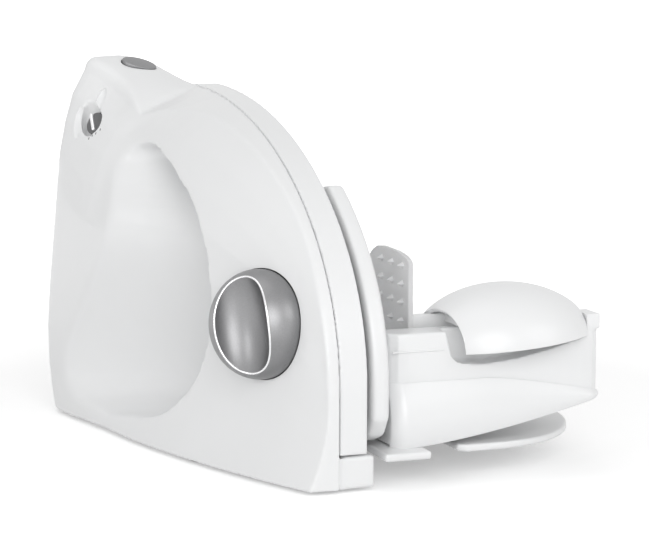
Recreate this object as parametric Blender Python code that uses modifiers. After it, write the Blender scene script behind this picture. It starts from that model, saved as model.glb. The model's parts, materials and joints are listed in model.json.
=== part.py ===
"""Electric food slicer: a white moulded housing with a round blade, a sliding fence set by a
knob, and a food carriage with a pusher.

The drawing frame has X = 0 and Y = 0 at the front corner of the motor side and Z = 0 at the
underside of the housing. +X runs towards the food carriage, +Y away from the operator.
An empty carries every part and moves the drawing frame to the middle of the footprint.
"""

import math

import bmesh
import bpy
from mathutils import Matrix, Vector

# General clearances and walls
GAP = 0.0003
RUN_GAP = 0.0006
WALL = 0.0025
MERGE = 0.00001

# Sail outline of the housing, seen from the side
SAIL_CENTRE_Y = 0.262
SAIL_CENTRE_Z = 0.055
SAIL_DEPTH = 0.264
SAIL_RISE = 0.1525
SAIL_POWER = 2.1
REAR_Y = 0.283

# Motor side: doubly curved face with its crisp front edge
PARTING_X = 0.0190
FACE_EDGE_X = 0.0115
FACE_SLOPE = 0.50
FACE_CURVE = 0.735
EDGE_DEPTHS = (-0.002, 0.05, 0.114, 0.1456, 0.1726, 0.1911, 0.2081, 0.2183, 0.235, 0.2552,
               0.275, 0.283)
EDGE_SETBACK = (0.0, 0.0, 0.0060, 0.0110, 0.0180, 0.0250, 0.0345, 0.0416, 0.0445, 0.0500,
                0.0615, 0.0650)
SHOULDER_FRONT = 0.04
SHOULDER_GAIN = 0.25
SHOULDER_MOST = 0.09
REAR_LEAN_START = 0.20
REAR_LEAN_Z = 0.064
FOOT_FLARE = 0.0115
FOOT_FLARE_FADE = 0.057
FOOT_FLARE_HEIGHT = 0.05
REAR_ROUND = 0.010
BAND_DROP = 0.0132
BAND_DROP_START = 0.15
BAND_DROP_POWER = 2.4

# Foot block in front of the blade side
TOE_X = 0.0405
TOE_LENGTH = 0.030
TOE_TOP = 0.0186

# Raised block on top that carries the main button
BLOCK_CORNER_Y = 0.2183
BLOCK_WALL_Y = 0.2527
BLOCK_DEPTHS = (0.2183, 0.232, 0.2552, 0.270, 0.2785, 0.283)
BLOCK_HEIGHTS = (0.1930, 0.2025, 0.2145, 0.2222, 0.2247, 0.2225)
BLOCK_EDGE_ROUND = 0.007
BLOCK_STEP = 0.0030
BLOCK_BULGE = 0.0083

# Slice bay: front and rear edge over its height, on the outer face
BAY_LEVELS = (0.0100, 0.0106, 0.0118, 0.0136, 0.0172, 0.0243, 0.0381, 0.0543, 0.0727, 0.0905,
              0.1079, 0.1247, 0.1431, 0.1582, 0.1667, 0.1722, 0.1756, 0.1772)
BAY_FRONT = (0.1900, 0.1760, 0.1620, 0.1500, 0.1370, 0.1240, 0.1094, 0.0998, 0.0944, 0.0926,
             0.0937, 0.0996, 0.1161, 0.1390, 0.1560, 0.1700, 0.1820, 0.1920)
BAY_REAR = (0.2080, 0.2190, 0.2300, 0.2390, 0.2470, 0.2530, 0.2520, 0.2445, 0.2318, 0.2190,
            0.2085, 0.2025, 0.2045, 0.2125, 0.2145, 0.2120, 0.2060, 0.1980)
BAY_STEPS = 30
BAY_RAMP_STEPS = 4
BAY_RAMP_BULGE = 0.0050
BAY_UNDERCUT = 0.010
BAY_RAMP_SLOPE = 0.80
BAY_FLOOR_RISE = 0.018
BAY_WALL = 0.0040

# Blade side: tray that holds the fence pocket
TRAY_EDGE_X = 0.0355
TRAY_FLOOR = 0.0045
TRAY_RIM = 0.0024
TRAY_BOTTOM_Z = 0.0199
TRAY_REAR_ROUND = 0.045

# Blade and its shaft
BLADE_Y = 0.164
BLADE_Z = 0.0985
BLADE_RADIUS = 0.0760
BLADE_FACE_X = 0.0512
BLADE_THICKNESS = 0.0012
BLADE_BEVEL = 0.004
HUB_RADIUS = 0.021
HUB_THICKNESS = 0.003
LOCK_RADIUS = 0.0165
LOCK_THICKNESS = 0.0026
SHAFT_RADIUS = 0.005
COVER_RADIUS = 0.0475
COVER_FRONT_X = 0.0460

# Slice slot between the bay edge and the gear cover
SLOT_RADIUS = 0.0535
SLOT_FRONT_Y = 0.080
SLOT_REAR_Y = 0.135
SLOT_LOW_Z = 0.055
SLOT_HIGH_Z = 0.158

# Fence
FENCE_INSET = 0.0032
FENCE_THICKNESS = 0.0098
FENCE_BOTTOM_Z = 0.0225
FENCE_BLADE_GAP = 0.0022
FENCE_TIP_Z = 0.1625
FENCE_SKIN = 0.0028
FENCE_TRAVEL = 0.015
STEM_RADIUS = 0.0032
STEM_Y = 0.050
STEM_LOW_Z = 0.050
STEM_HIGH_Z = 0.130
STEM_LENGTH = FENCE_TRAVEL + 0.015

# Thickness knob
KNOB_Y = 0.0475
KNOB_Z = 0.0885
KNOB_TURN = math.radians(25.7)
KNOB_TILT = math.radians(4.5)
KNOB_BASE_RADIUS = 0.0316
KNOB_RIM = 0.0008
KNOB_BASE_DEPTH = 0.0090
KNOB_BASE_PLATE = 0.0035
KNOB_HEIGHT = 0.0255
KNOB_SKIRT = 0.0030
SCOOP_HALF = (0.0182, 0.0268)
SCOOP_DEPTH = 0.0100
SCOOP_LEAN = math.radians(13)
SCOOP_CENTRE = (0.0040, 0.0, 0.0160)
SPINDLE_RADIUS = 0.0035
CAM_RADIUS = 0.0120
CAM_THICKNESS = 0.004

# Main button and speed selector
BUTTON_X = -0.0150
BUTTON_Y = 0.2690
BUTTON_LENGTH = 0.023
BUTTON_WIDTH = 0.0145
BUTTON_TRAVEL = 0.0028
BUTTON_PROUD = 0.0022
SELECTOR_Y = 0.2509
SELECTOR_Z = 0.1862
SELECTOR_RADIUS = 0.0072
SELECTOR_THICKNESS = 0.0060
SELECTOR_SINK = 0.0018
SELECTOR_RIDGE = 0.0022
RECESS_Y = 0.2550
RECESS_Z = 0.1900
RECESS_SIZE = (0.0060, 0.0100, 0.0165)
RECESS_TAPER = 0.28
RECESS_LEAN = math.radians(12)

# Gear train and motor
MODULE = 0.0016
WHEEL_TEETH = 46
PINION_TEETH = 14
GEAR_WIDTH = 0.008
GEAR_X = 0.0300
WORM_WHEEL_TEETH = 30
WORM_WHEEL_RADIUS = 0.0215
WORM_WHEEL_X = -0.0110
WORM_WHEEL_WIDTH = 0.008
IDLER_ANGLE = math.radians(28)
WORM_RADIUS = 0.0050
WORM_THREAD = 0.0012
WORM_PITCH = 0.0045
WORM_LENGTH = 0.026
MOTOR_RADIUS = 0.0205
MOTOR_STACK = 0.032
ROTOR_RADIUS = 0.0120
ROTOR_GAP = 0.0008
MOTOR_TOP_GAP = 0.016
MOTOR_SHAFT_RADIUS = 0.0025

# Base under the carriage
BASE_TOP_Z = 0.0193
BASE_PLATE = 0.0046
RAIL_LEFT_X = 0.0455
RAIL_RIGHT_X = 0.0735
RAIL_FRONT_Y = -0.005
OUTRIGGER_LEFT_X = 0.0945
OUTRIGGER_RIGHT_X = 0.1895
OUTRIGGER_FRONT_Y = 0.0045
OUTRIGGER_CORNER_Y = 0.082
OUTRIGGER_REAR_Y = 0.250
WEB_FRONT_Y = 0.070
TONGUE_TOP_Z = 0.0100
TONGUE_OUTLINE = ((-0.004, 0.0306), (-0.029, 0.100), (-0.029, 0.275))
FOOT_RADIUS = 0.011
FOOT_PROUD = 0.002
FOOT_SPOTS = ((-0.022, 0.110), (-0.022, 0.245), (0.165, 0.105), (0.165, 0.225))

# Carriage
CARRIAGE_LEFT_X = 0.0548
CARRIAGE_RIGHT_X = 0.1865
CARRIAGE_FRONT_Y = 0.012
CARRIAGE_REAR_Y = 0.128
CARRIAGE_WALL_DEPTH = 0.020
CARRIAGE_TOP_Z = 0.0840
CARRIAGE_END_TOP_Z = 0.0890
CARRIAGE_FLOOR_Z = 0.0440
CARRIAGE_SKIN = 0.0026
CARRIAGE_RIDGE_Z = 0.0555
CARRIAGE_RIDGE_END_Z = 0.0430
CARRIAGE_LOW_Z = 0.0200
CARRIAGE_HIGH_Z = 0.0418
SKIRT_BULGE = 0.007
CARRIAGE_STROKE = 0.130
BASE_REAR_Y = CARRIAGE_REAR_Y + CARRIAGE_STROKE + 0.020
NICHE_DEPTH = 0.012
RUNNER_LEFT_X = 0.0560
RUNNER_RIGHT_X = 0.0640

# Pusher
HOOD_CENTRE = (0.1340, 0.0345, 0.0700)
HOOD_SIZE = (0.0560, 0.0420, 0.0370)
HOOD_LEFT_X = 0.0970
HOOD_RIGHT_X = 0.1768
HOOD_LOW_Z = 0.0718
HOOD_LOW_SLOPE = 0.075
POST_LEFT_X = 0.1777
HOOD_SKIN = 0.0022
SPIKE_PLATE_THICKNESS = 0.0031
SPIKE_PLATE_FRONT_Y = 0.0325
SPIKE_PLATE_REAR_Y = 0.1040
SPIKE_PLATE_LOW_Z = 0.0460
SPIKE_PLATE_TOP_Z = 0.1260
SPIKE_PITCH_Y = 0.0158
SPIKE_PITCH_Z = 0.0107
SPIKE_LENGTH = 0.0035
SPIKE_RADIUS = 0.0019
PUSHER_IN = 0.0150
SPIKE_PLATE_X = BLADE_FACE_X + PUSHER_IN + SPIKE_LENGTH + 0.0039


def centre_on_footprint():
    """Move the carrying empty so that the footprint's middle on the table is the origin."""
    bpy.context.view_layer.update()
    corners = []
    for obj in Shop.parts.objects:
        if obj.type == "MESH":
            frame = obj.matrix_world
            corners += [frame @ vert.co for vert in obj.data.vertices]
    low = [min(corner[k] for corner in corners) for k in range(3)]
    high = [max(corner[k] for corner in corners) for k in range(3)]
    Shop.root.location = (-(low[0] + high[0]) / 2, -(low[1] + high[1]) / 2, -low[2])


def clear_scene():
    for item in list(bpy.data.objects):
        bpy.data.objects.remove(item, do_unlink=True)


def make_collection(name):
    collection = bpy.data.collections.new(name)
    bpy.context.scene.collection.children.link(collection)
    return collection


def make_material(name, colour, roughness, metallic=0.0):
    material = bpy.data.materials.new(name)
    material.use_nodes = True
    shader = material.node_tree.nodes["Principled BSDF"]
    shader.inputs["Base Color"].default_value = (*colour, 1.0)
    shader.inputs["Roughness"].default_value = roughness
    shader.inputs["Metallic"].default_value = metallic
    return material


class Shop:
    """Collections, materials and the carrying empty that all parts share."""

    parts = None
    cutters = None
    root = None
    materials = {}


def open_shop():
    Shop.parts = make_collection("food_slicer")
    Shop.cutters = make_collection("cutters")
    Shop.root = bpy.data.objects.new("slicer_frame", None)
    Shop.parts.objects.link(Shop.root)
    Shop.materials = {
        "white": make_material("white_gloss_plastic", (0.86, 0.86, 0.85), 0.25),
        "clear_white": make_material("white_satin_plastic", (0.83, 0.83, 0.82), 0.38),
        "silver": make_material("silver_lacquer", (0.62, 0.63, 0.64), 0.30, 0.8),
        "dark": make_material("dark_plastic", (0.05, 0.05, 0.055), 0.45),
        "steel": make_material("polished_steel", (0.72, 0.72, 0.72), 0.18, 1.0),
        "rubber": make_material("foot_rubber", (0.06, 0.06, 0.06), 0.85),
        "gear": make_material("gear_nylon", (0.80, 0.77, 0.66), 0.50),
        "copper": make_material("winding_copper", (0.62, 0.30, 0.14), 0.40, 1.0),
        "iron": make_material("motor_iron", (0.35, 0.35, 0.36), 0.45, 1.0),
        "brass": make_material("bush_bronze", (0.70, 0.52, 0.28), 0.35, 1.0),
    }


def place(obj, collection, material=None):
    """Link an object below the carrying empty."""
    collection.objects.link(obj)
    obj.parent = Shop.root
    if material:
        obj.data.materials.clear()
        obj.data.materials.append(Shop.materials[material])
    if collection is Shop.cutters:
        obj.hide_render = True
        obj.display_type = "WIRE"
    return obj


def smooth(obj, angle=math.radians(35)):
    obj.data.shade_smooth()
    obj.data.set_sharp_from_angle(angle=angle)
    return obj


def from_bmesh(name, bm, collection, material=None):
    bmesh.ops.recalc_face_normals(bm, faces=bm.faces)
    mesh = bpy.data.meshes.new(name)
    bm.to_mesh(mesh)
    bm.free()
    return smooth(place(bpy.data.objects.new(name, mesh), collection, material))


def aim(obj, origin, direction):
    """Put an object's own origin at a point with its Z along a direction."""
    turn = Vector(direction).to_track_quat("Z", "Y").to_matrix().to_4x4()
    obj.matrix_local = Matrix.Translation(origin) @ turn
    return obj


def box(name, low, high, collection, material=None, round_edge=0.0):
    """Box between two corners."""
    bm = bmesh.new()
    bmesh.ops.create_cube(bm, size=1.0)
    bmesh.ops.scale(bm, vec=Vector(high) - Vector(low), verts=bm.verts)
    bmesh.ops.translate(bm, vec=(Vector(high) + Vector(low)) / 2, verts=bm.verts)
    obj = from_bmesh(name, bm, collection, material)
    if round_edge:
        bevel(obj, round_edge)
    return obj


def frame_of(obj):
    """An object's frame in the drawing, once its last move counts."""
    bpy.context.view_layer.update()
    return obj.matrix_local.copy()


def rod(name, start, direction, radius, length, collection, material=None, sides=32):
    """Cylinder from a point along a direction."""
    bm = bmesh.new()
    bmesh.ops.create_cone(bm, cap_ends=True, segments=sides, radius1=radius, radius2=radius,
                          depth=length)
    bmesh.ops.translate(bm, vec=(0, 0, length / 2), verts=bm.verts)
    return aim(from_bmesh(name, bm, collection, material), start, direction)


def turned(name, profile, start, direction, collection, material, steps=40, ring=False):
    """Turned piece: a profile of (radius, height) pairs run down the outer side."""
    mesh = bpy.data.meshes.new(name)
    verts = [(radius, 0.0, height) for radius, height in profile]
    edges = [(i, i + 1) for i in range(len(verts) - 1)]
    if ring:
        edges.append((len(verts) - 1, 0))
    mesh.from_pydata(verts, edges, [])
    obj = place(bpy.data.objects.new(name, mesh), collection, material)
    screw = obj.modifiers.new("Turn", "SCREW")
    screw.axis = "Z"
    screw.steps = steps
    screw.render_steps = steps
    screw.use_merge_vertices = True
    screw.merge_threshold = MERGE
    screw.use_smooth_shade = True
    return aim(obj, start, direction)


def flat_outline(name, points, low, high, axis, collection, material=None, round_edge=0.0):
    """Closed flat outline given thickness along an axis between two levels.

    The outline's pairs are (Y, Z) for axis X, (X, Z) for axis Y and (X, Y) for axis Z.
    """
    curve = bpy.data.curves.new(name, "CURVE")
    curve.dimensions = "2D"
    curve.fill_mode = "BOTH"
    curve.extrude = (high - low) / 2 - round_edge
    curve.bevel_depth = round_edge
    curve.offset = -round_edge
    curve.bevel_resolution = 1
    spline = curve.splines.new("POLY")
    spline.points.add(len(points) - 1)
    for point, (first, second) in zip(spline.points, points):
        point.co = (first, second, 0.0, 1.0)
    spline.use_cyclic_u = True
    guide = bpy.data.objects.new(name, curve)
    Shop.cutters.objects.link(guide)
    bpy.context.view_layer.update()
    graph = bpy.context.evaluated_depsgraph_get()
    mesh = bpy.data.meshes.new_from_object(guide.evaluated_get(graph))
    bpy.data.objects.remove(guide)
    bpy.data.curves.remove(curve)
    bm = bmesh.new()
    bm.from_mesh(mesh)
    bpy.data.meshes.remove(mesh)
    bmesh.ops.remove_doubles(bm, verts=bm.verts, dist=MERGE)
    obj = from_bmesh(name, bm, collection, material)
    middle = (low + high) / 2
    frames = {
        "X": Matrix(((0, 0, 1, middle), (1, 0, 0, 0), (0, 1, 0, 0), (0, 0, 0, 1))),
        "Y": Matrix(((1, 0, 0, 0), (0, 0, -1, middle), (0, 1, 0, 0), (0, 0, 0, 1))),
        "Z": Matrix.Translation((0, 0, middle)),
    }
    obj.matrix_local = frames[axis]
    return obj


def loft(name, sections, collection, material=None, caps=None):
    """Closed solid through sections of equal point count, its ends in one face or in caps."""
    bm = bmesh.new()
    rows = [[bm.verts.new(point) for point in section] for section in sections]
    count = len(rows[0])
    for near, far in zip(rows, rows[1:]):
        for i in range(count):
            j = (i + 1) % count
            bm.faces.new((near[i], near[j], far[j], far[i]))
    for row in (rows[0], rows[-1]):
        for cap in caps or (range(count),):
            bm.faces.new([row[i] for i in cap])
    return from_bmesh(name, bm, collection, material)


def combine(obj, other, operation):
    modifier = obj.modifiers.new(operation.title(), "BOOLEAN")
    modifier.operation = operation
    modifier.solver = "EXACT"
    modifier.object = other
    return obj


def cut(obj, *others):
    for other in others:
        combine(obj, other, "DIFFERENCE")
    return obj


def join(obj, *others):
    for other in others:
        combine(obj, other, "UNION")
    return obj


def bevel(obj, width, segments=2, angle=math.radians(40)):
    modifier = obj.modifiers.new("Round", "BEVEL")
    modifier.width = width
    modifier.segments = segments
    modifier.limit_method = "ANGLE"
    modifier.angle_limit = angle
    return obj


def finish(obj):
    """Turn an object's modifiers into its mesh."""
    bpy.context.view_layer.update()
    graph = bpy.context.evaluated_depsgraph_get()
    mesh = bpy.data.meshes.new_from_object(obj.evaluated_get(graph))
    old = obj.data
    obj.modifiers.clear()
    obj.data = mesh
    mesh.name = obj.name
    bpy.data.meshes.remove(old)
    return smooth(obj)


def blend_table(levels, values, level):
    """Smooth value through a table of levels, without overshoot between equal values."""
    last = len(levels) - 1
    i = max(k for k in range(last) if levels[k] <= level or k == 0)
    before = max(i - 1, 0)
    after = min(i + 2, last)
    span = levels[i + 1] - levels[i]
    t = min(max((level - levels[i]) / span, 0.0), 1.0)
    slope_in = (values[i + 1] - values[before]) / (levels[i + 1] - levels[before]) * span
    slope_out = (values[after] - values[i]) / (levels[after] - levels[i]) * span
    a = 2 * t ** 3 - 3 * t ** 2 + 1
    b = t ** 3 - 2 * t ** 2 + t
    c = -2 * t ** 3 + 3 * t ** 2
    d = t ** 3 - t ** 2
    return a * values[i] + b * slope_in + c * values[i + 1] + d * slope_out


# Housing forms

def sail_point(turn, inset=0.0):
    """Point (Y, Z) of the sail arc; turn is 0 at the front and a right angle at the crown."""
    reach = math.cos(turn) ** (2 / SAIL_POWER) if turn < math.pi / 2 else 0.0
    lift = math.sin(turn) ** (2 / SAIL_POWER) if turn > 0 else 0.0
    return (SAIL_CENTRE_Y - (SAIL_DEPTH - inset) * reach,
            SAIL_CENTRE_Z + (SAIL_RISE - inset) * lift)


def crown_z(y, inset=0.0):
    """Height of the sail over a depth."""
    share = min(max((SAIL_CENTRE_Y - y) / (SAIL_DEPTH - inset), 0.0), 1.0)
    rise = (SAIL_RISE - inset) * (1 - share ** SAIL_POWER) ** (1 / SAIL_POWER)
    return SAIL_CENTRE_Z + rise


def front_y(z, inset=0.0):
    """Depth of the sail's front edge at a height."""
    if z <= SAIL_CENTRE_Z:
        return SAIL_CENTRE_Y - SAIL_DEPTH + inset
    share = min((z - SAIL_CENTRE_Z) / (SAIL_RISE - inset), 1.0)
    return SAIL_CENTRE_Y - (SAIL_DEPTH - inset) * (1 - share ** SAIL_POWER) ** (1 / SAIL_POWER)


def plan_x(y):
    return FACE_EDGE_X - FACE_SLOPE * y + FACE_CURVE * y * y


def edge_x(y):
    """Upper edge of the face at a depth."""
    return FACE_EDGE_X - blend_table(EDGE_DEPTHS, EDGE_SETBACK, y)


def face_top_z(y, inset=0.0):
    """Height of the face's upper edge: below the sail's crown, then up over the block."""
    if y >= BLOCK_CORNER_Y:
        return blend_table(BLOCK_DEPTHS, BLOCK_HEIGHTS, y) - inset
    share = max(y - BAND_DROP_START, 0.0) / (BLOCK_CORNER_Y - BAND_DROP_START)
    return crown_z(y, inset) - BAND_DROP * share ** BAND_DROP_POWER


def face_x(y, z, inset=0.0):
    """Outer face of the motor side at a depth and height."""
    depth = max(face_top_z(y) - z, 0.0)
    shoulder = min(SHOULDER_FRONT + SHOULDER_GAIN * max(y, 0.0), SHOULDER_MOST)
    blend = max(1 - depth / shoulder, 0.0) ** 2
    x = plan_x(y) + (edge_x(y) - plan_x(y)) * blend
    flare = max(1 - z / FOOT_FLARE_HEIGHT, 0.0) ** 2
    x -= (FOOT_FLARE - FOOT_FLARE_FADE * y) * flare
    lean = min(max((y - REAR_LEAN_START) / (REAR_Y - REAR_LEAN_START), 0.0), 1.0)
    x += lean * lean * (3 - 2 * lean) * min(-0.0053 + 0.091 * max(z - REAR_LEAN_Z, 0.0), 0.0015)
    past = y - (REAR_Y - inset - REAR_ROUND)
    if past > 0:
        x += REAR_ROUND - math.sqrt(max(REAR_ROUND ** 2 - past ** 2, 0.0))
    return x + inset * 1.15


def sail_line(inset, bottom, front_steps, arc_steps):
    """Sail outline from the front foot to just before the crown."""
    points = []
    for i in range(front_steps):
        z = bottom + (SAIL_CENTRE_Z - bottom) * i / front_steps
        points.append((front_y(z, inset), z))
    for i in range(arc_steps):
        points.append(sail_point(math.pi / 2 * (i / arc_steps) ** 1.15, inset))
    return points


def wall_y(y):
    """Depth at the parting plane of the section that meets the face at a depth."""
    if y < BAND_DROP_START:
        return y
    if y <= BLOCK_CORNER_Y:
        share = (y - BAND_DROP_START) / (BLOCK_CORNER_Y - BAND_DROP_START)
        return BAND_DROP_START + share * (BLOCK_WALL_Y - BAND_DROP_START)
    share = (y - BLOCK_CORNER_Y) / (REAR_Y - BLOCK_CORNER_Y)
    return BLOCK_WALL_Y + share * (REAR_Y - BLOCK_WALL_Y)


def top_z(y, share, inset=0.0, block=None):
    """Top surface between the face's edge (share 0) and the parting plane (share 1)."""
    block = y > BLOCK_CORNER_Y if block is None else block
    low = face_top_z(y, inset)
    high = crown_z(wall_y(y), inset)
    bulge = 0.0
    if block:
        back = (y - BLOCK_CORNER_Y) / (REAR_Y - BLOCK_CORNER_Y)
        bulge = BLOCK_STEP + (BLOCK_BULGE - BLOCK_STEP) * back
    return low + (high - low) * share + bulge * math.sin(math.pi * share)


def motor_section(y, inset, parting, block):
    """Closed skewed section of the motor side that meets the face at a depth."""
    back = min(max((y - BLOCK_CORNER_Y) / 0.022, 0.0), 1.0)
    radius = 0.0008 + (BLOCK_EDGE_ROUND - 0.0008) * back if block else 0.0008
    top = face_top_z(y, inset)
    edge = face_x(y, top + inset, inset)
    far_y = wall_y(y)
    points = [(parting, far_y, inset), (parting, far_y, top_z(y, 1.0, inset, block))]
    near = radius / (parting - edge)
    for share in (0.86, 0.72, 0.57, 0.42, 0.27):
        part = near + (1 - near) * share
        points.append((edge + (parting - edge) * part, y + (far_y - y) * part,
                       top_z(y, part, inset, block)))
    for i in range(5):
        angle = math.radians(90) * (4 - i) / 4
        part = near * (1 - math.cos(angle))
        z = top_z(y, part, inset, block) - radius * (1 - math.sin(angle))
        points.append((edge + radius * (1 - math.cos(angle)), y + (far_y - y) * part, z))
    start = top - radius
    for share in (0.07, 0.15, 0.24, 0.35, 0.48, 0.62, 0.75, 0.85, 0.93, 1.0):
        z = start + (inset - start) * share
        points.append((face_x(y, z, inset), y, z))
    return points


def motor_form(name, inset, parting, steps):
    """Motor side as skewed sections from front to rear, with the block's step between two."""
    start = SAIL_CENTRE_Y - SAIL_DEPTH + inset
    corner = BLOCK_CORNER_Y + inset * 1.3
    sections = []
    for k in range(steps + 1):
        y = start + (corner - start) * (k / steps) ** 1.7
        sections.append(motor_section(y, inset, parting, False))
    steps = steps // 2 - 1
    for k in range(steps + 1):
        share = 1 - (1 - k / steps) ** 1.7
        y = corner + 0.0004 + (REAR_Y - inset - corner - 0.0004) * share
        sections.append(motor_section(y, inset, parting, True))
    return loft(name, sections, Shop.cutters)


def block_surface(x, y):
    """Height of the block's top over a plan position."""
    low = BLOCK_CORNER_Y + 0.0005
    high = REAR_Y
    share = 0.0
    for _ in range(40):
        middle = (low + high) / 2
        edge = edge_x(middle)
        share = min(max((x - edge) / (PARTING_X - edge), 0.0), 1.0)
        if middle + (wall_y(middle) - middle) * share < y:
            low = middle
        else:
            high = middle
    return top_z(low, share)


def bay_form(name, grow, depth_x):
    """Slice bay as a loft of level sections: front wall, open back, ramp and open side."""
    outside = -0.12
    low = BAY_LEVELS[0] - grow
    high = BAY_LEVELS[-1] + grow
    sections = []
    for k in range(BAY_STEPS + 1):
        share = (1 - math.cos(math.pi * k / BAY_STEPS)) / 4 + k / BAY_STEPS / 2
        level = BAY_LEVELS[0] + (BAY_LEVELS[-1] - BAY_LEVELS[0]) * share
        z = low + (high - low) * share
        front = blend_table(BAY_LEVELS, BAY_FRONT, level)
        rear = blend_table(BAY_LEVELS, BAY_REAR, level)
        rear_x = face_x(rear, z, 0.0) - 0.0005
        deep = BAY_FLOOR_RISE * (1 - share)
        inner_rear = rear - (depth_x - rear_x) / BAY_RAMP_SLOPE * (1 - 0.45 * share ** 3)
        inner_front = min(front - BAY_UNDERCUT, inner_rear - 0.012)
        span = depth_x - rear_x
        near_front = min(front, rear - 0.2 * (rear - inner_rear) - 0.002)
        section = [(outside, front - grow, z),
                   (rear_x + span * 0.2, near_front - grow, z + deep * 0.2),
                   (depth_x, inner_front - grow, z + deep)]
        for i in range(BAY_RAMP_STEPS + 1):
            part = i / BAY_RAMP_STEPS
            y = inner_rear + (rear - inner_rear) * part + BAY_RAMP_BULGE * math.sin(math.pi * part)
            section.append((depth_x - span * part, y + 1.3 * grow, z + deep * (1 - part)))
        section.append((outside, rear + 1.3 * grow, z))
        sections.append(section)
    last = BAY_RAMP_STEPS + 3
    caps = [(1, i, i + 1) for i in range(2, last)] + [(0, 1, last, last + 1)]
    bay = loft(name, sections, Shop.cutters, caps=caps)
    bay.modifiers.new("Triangles", "TRIANGULATE")
    return bay


def knob_axis():
    level = math.cos(KNOB_TILT)
    return Vector((-math.cos(KNOB_TURN) * level, -math.sin(KNOB_TURN) * level,
                   math.sin(KNOB_TILT)))


def knob_turn():
    """Knob frame: X level along the face, Y up, Z out of the face."""
    axis = knob_axis()
    side = Vector((0, 0, 1)).cross(axis).normalized()
    return Matrix((side, axis.cross(side), axis)).transposed().to_4x4()


def knob_seat():
    """Middle of the knob's base plane, just proud of the face."""
    return Vector((face_x(KNOB_Y, KNOB_Z) - 0.0012, KNOB_Y, KNOB_Z))


def button_frame():
    """Middle of the button's opening and the direction it is pressed from."""
    step = 0.005
    z = block_surface(BUTTON_X, BUTTON_Y)
    slope_x = (block_surface(BUTTON_X + step, BUTTON_Y) - z) / step
    slope_y = (z - block_surface(BUTTON_X, BUTTON_Y - step)) / step
    normal = Vector((-slope_x, -slope_y, 1.0)).normalized()
    return Vector((BUTTON_X, BUTTON_Y, z)), normal


def selector_frame(y=SELECTOR_Y, z=SELECTOR_Z):
    """Point of the face and its outward direction."""
    step = 0.004
    x = face_x(y, z)
    normal = Vector((-1.0, (x - face_x(y - step, z)) / step, (face_x(y, z + step) - x) / step))
    return Vector((x, y, z)), normal.normalized()


def recess_form(name, grow):
    """Egg-shaped finger recess round the selector."""
    bm = bmesh.new()
    bmesh.ops.create_uvsphere(bm, u_segments=24, v_segments=14, radius=1.0)
    for vert in bm.verts:
        vert.co.y *= 1 - RECESS_TAPER * vert.co.z
    size = [value + grow for value in RECESS_SIZE]
    bmesh.ops.scale(bm, vec=size, verts=bm.verts)
    obj = from_bmesh(name, bm, Shop.cutters)
    spot, _ = selector_frame(RECESS_Y, RECESS_Z)
    obj.matrix_local = (Matrix.Translation(spot) @ Matrix.Rotation(RECESS_LEAN, 4, "X"))
    return obj


def oval(name, length, width, low, high, collection, material=None, round_edge=0.0, sides=32):
    """Upright oval column about its own Z, long along its X."""
    points = []
    for k in range(sides):
        angle = 2 * math.pi * k / sides
        points.append((length / 2 * math.cos(angle), width / 2 * math.sin(angle)))
    obj = flat_outline(name, points, low, high, "Z", collection, material, round_edge)
    obj.data.transform(frame_of(obj))
    obj.matrix_local = Matrix.Identity(4)
    return obj


def motor_housing():
    """Motor side shell with its foot block, raised block and slice bay."""
    parting = PARTING_X - GAP / 2
    shell = motor_form("motor_housing", 0.0, parting, 24)
    Shop.cutters.objects.unlink(shell)
    Shop.parts.objects.link(shell)
    shell.hide_render = False
    shell.display_type = "TEXTURED"
    shell.data.materials.append(Shop.materials["white"])
    toe = box("toe_block", (0.0105, front_y(0.0) + 0.002, 0.0), (TOE_X, TOE_LENGTH, TOE_TOP),
              Shop.cutters)
    inside = motor_form("inside", WALL, parting + 0.002, 14)
    cut(inside, bay_form("bay_wall", BAY_WALL, parting + 0.004), recess_form("recess_wall", WALL))
    join(shell, toe)
    cut(shell, inside, bay_form("bay", 0.0, parting + 0.006), recess_form("recess", 0.0))
    cut(shell, *motor_openings())
    return finish(shell)


def motor_openings():
    """Cutters for the knob well, the button, the selector and the cord inlet."""
    axis = knob_axis()
    well = rod("knob_well", knob_seat() - axis * 0.02, axis, KNOB_BASE_RADIUS + GAP, 0.05,
               Shop.cutters, sides=56)
    spot, normal = button_frame()
    slot = oval("button_slot", BUTTON_LENGTH + 2 * RUN_GAP, BUTTON_WIDTH + 2 * RUN_GAP, -0.012,
                0.012, Shop.cutters)
    aim_flat(slot, spot, normal)
    spot, normal = selector_frame()
    hole = rod("selector_hole", spot - normal * 0.012, normal, SELECTOR_RADIUS + RUN_GAP, 0.03,
               Shop.cutters)
    inlet = rod("inlet_hole", (-0.020, REAR_Y - 0.02, 0.030), (0, 1, 0), 0.0055, 0.04,
                Shop.cutters)
    return well, slot, hole, inlet


def aim_flat(obj, origin, normal):
    """Put an object at a point, its Z along a normal and its X kept level."""
    side = Vector((1.0, 0.0, 0.0))
    side = (side - normal * side.dot(normal)).normalized()
    depth = normal.cross(side)
    turn = Matrix((side, depth, normal)).transposed().to_4x4()
    obj.matrix_local = Matrix.Translation(origin) @ turn
    return obj


def tray_outline(inset):
    """Blade side outline: the sail with a rounded rear corner."""
    points = sail_line(inset, TRAY_BOTTOM_Z + inset, 2, 30)
    crown = SAIL_CENTRE_Z + SAIL_RISE - inset
    rear = REAR_Y - inset
    round_y = rear - SAIL_CENTRE_Y
    for i in range(9):
        angle = math.radians(90) * i / 8
        points.append((SAIL_CENTRE_Y + round_y * math.sin(angle),
                       crown - (TRAY_REAR_ROUND - inset) * (1 - math.cos(angle))))
    points.append((rear, TRAY_BOTTOM_Z + inset))
    return points


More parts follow.
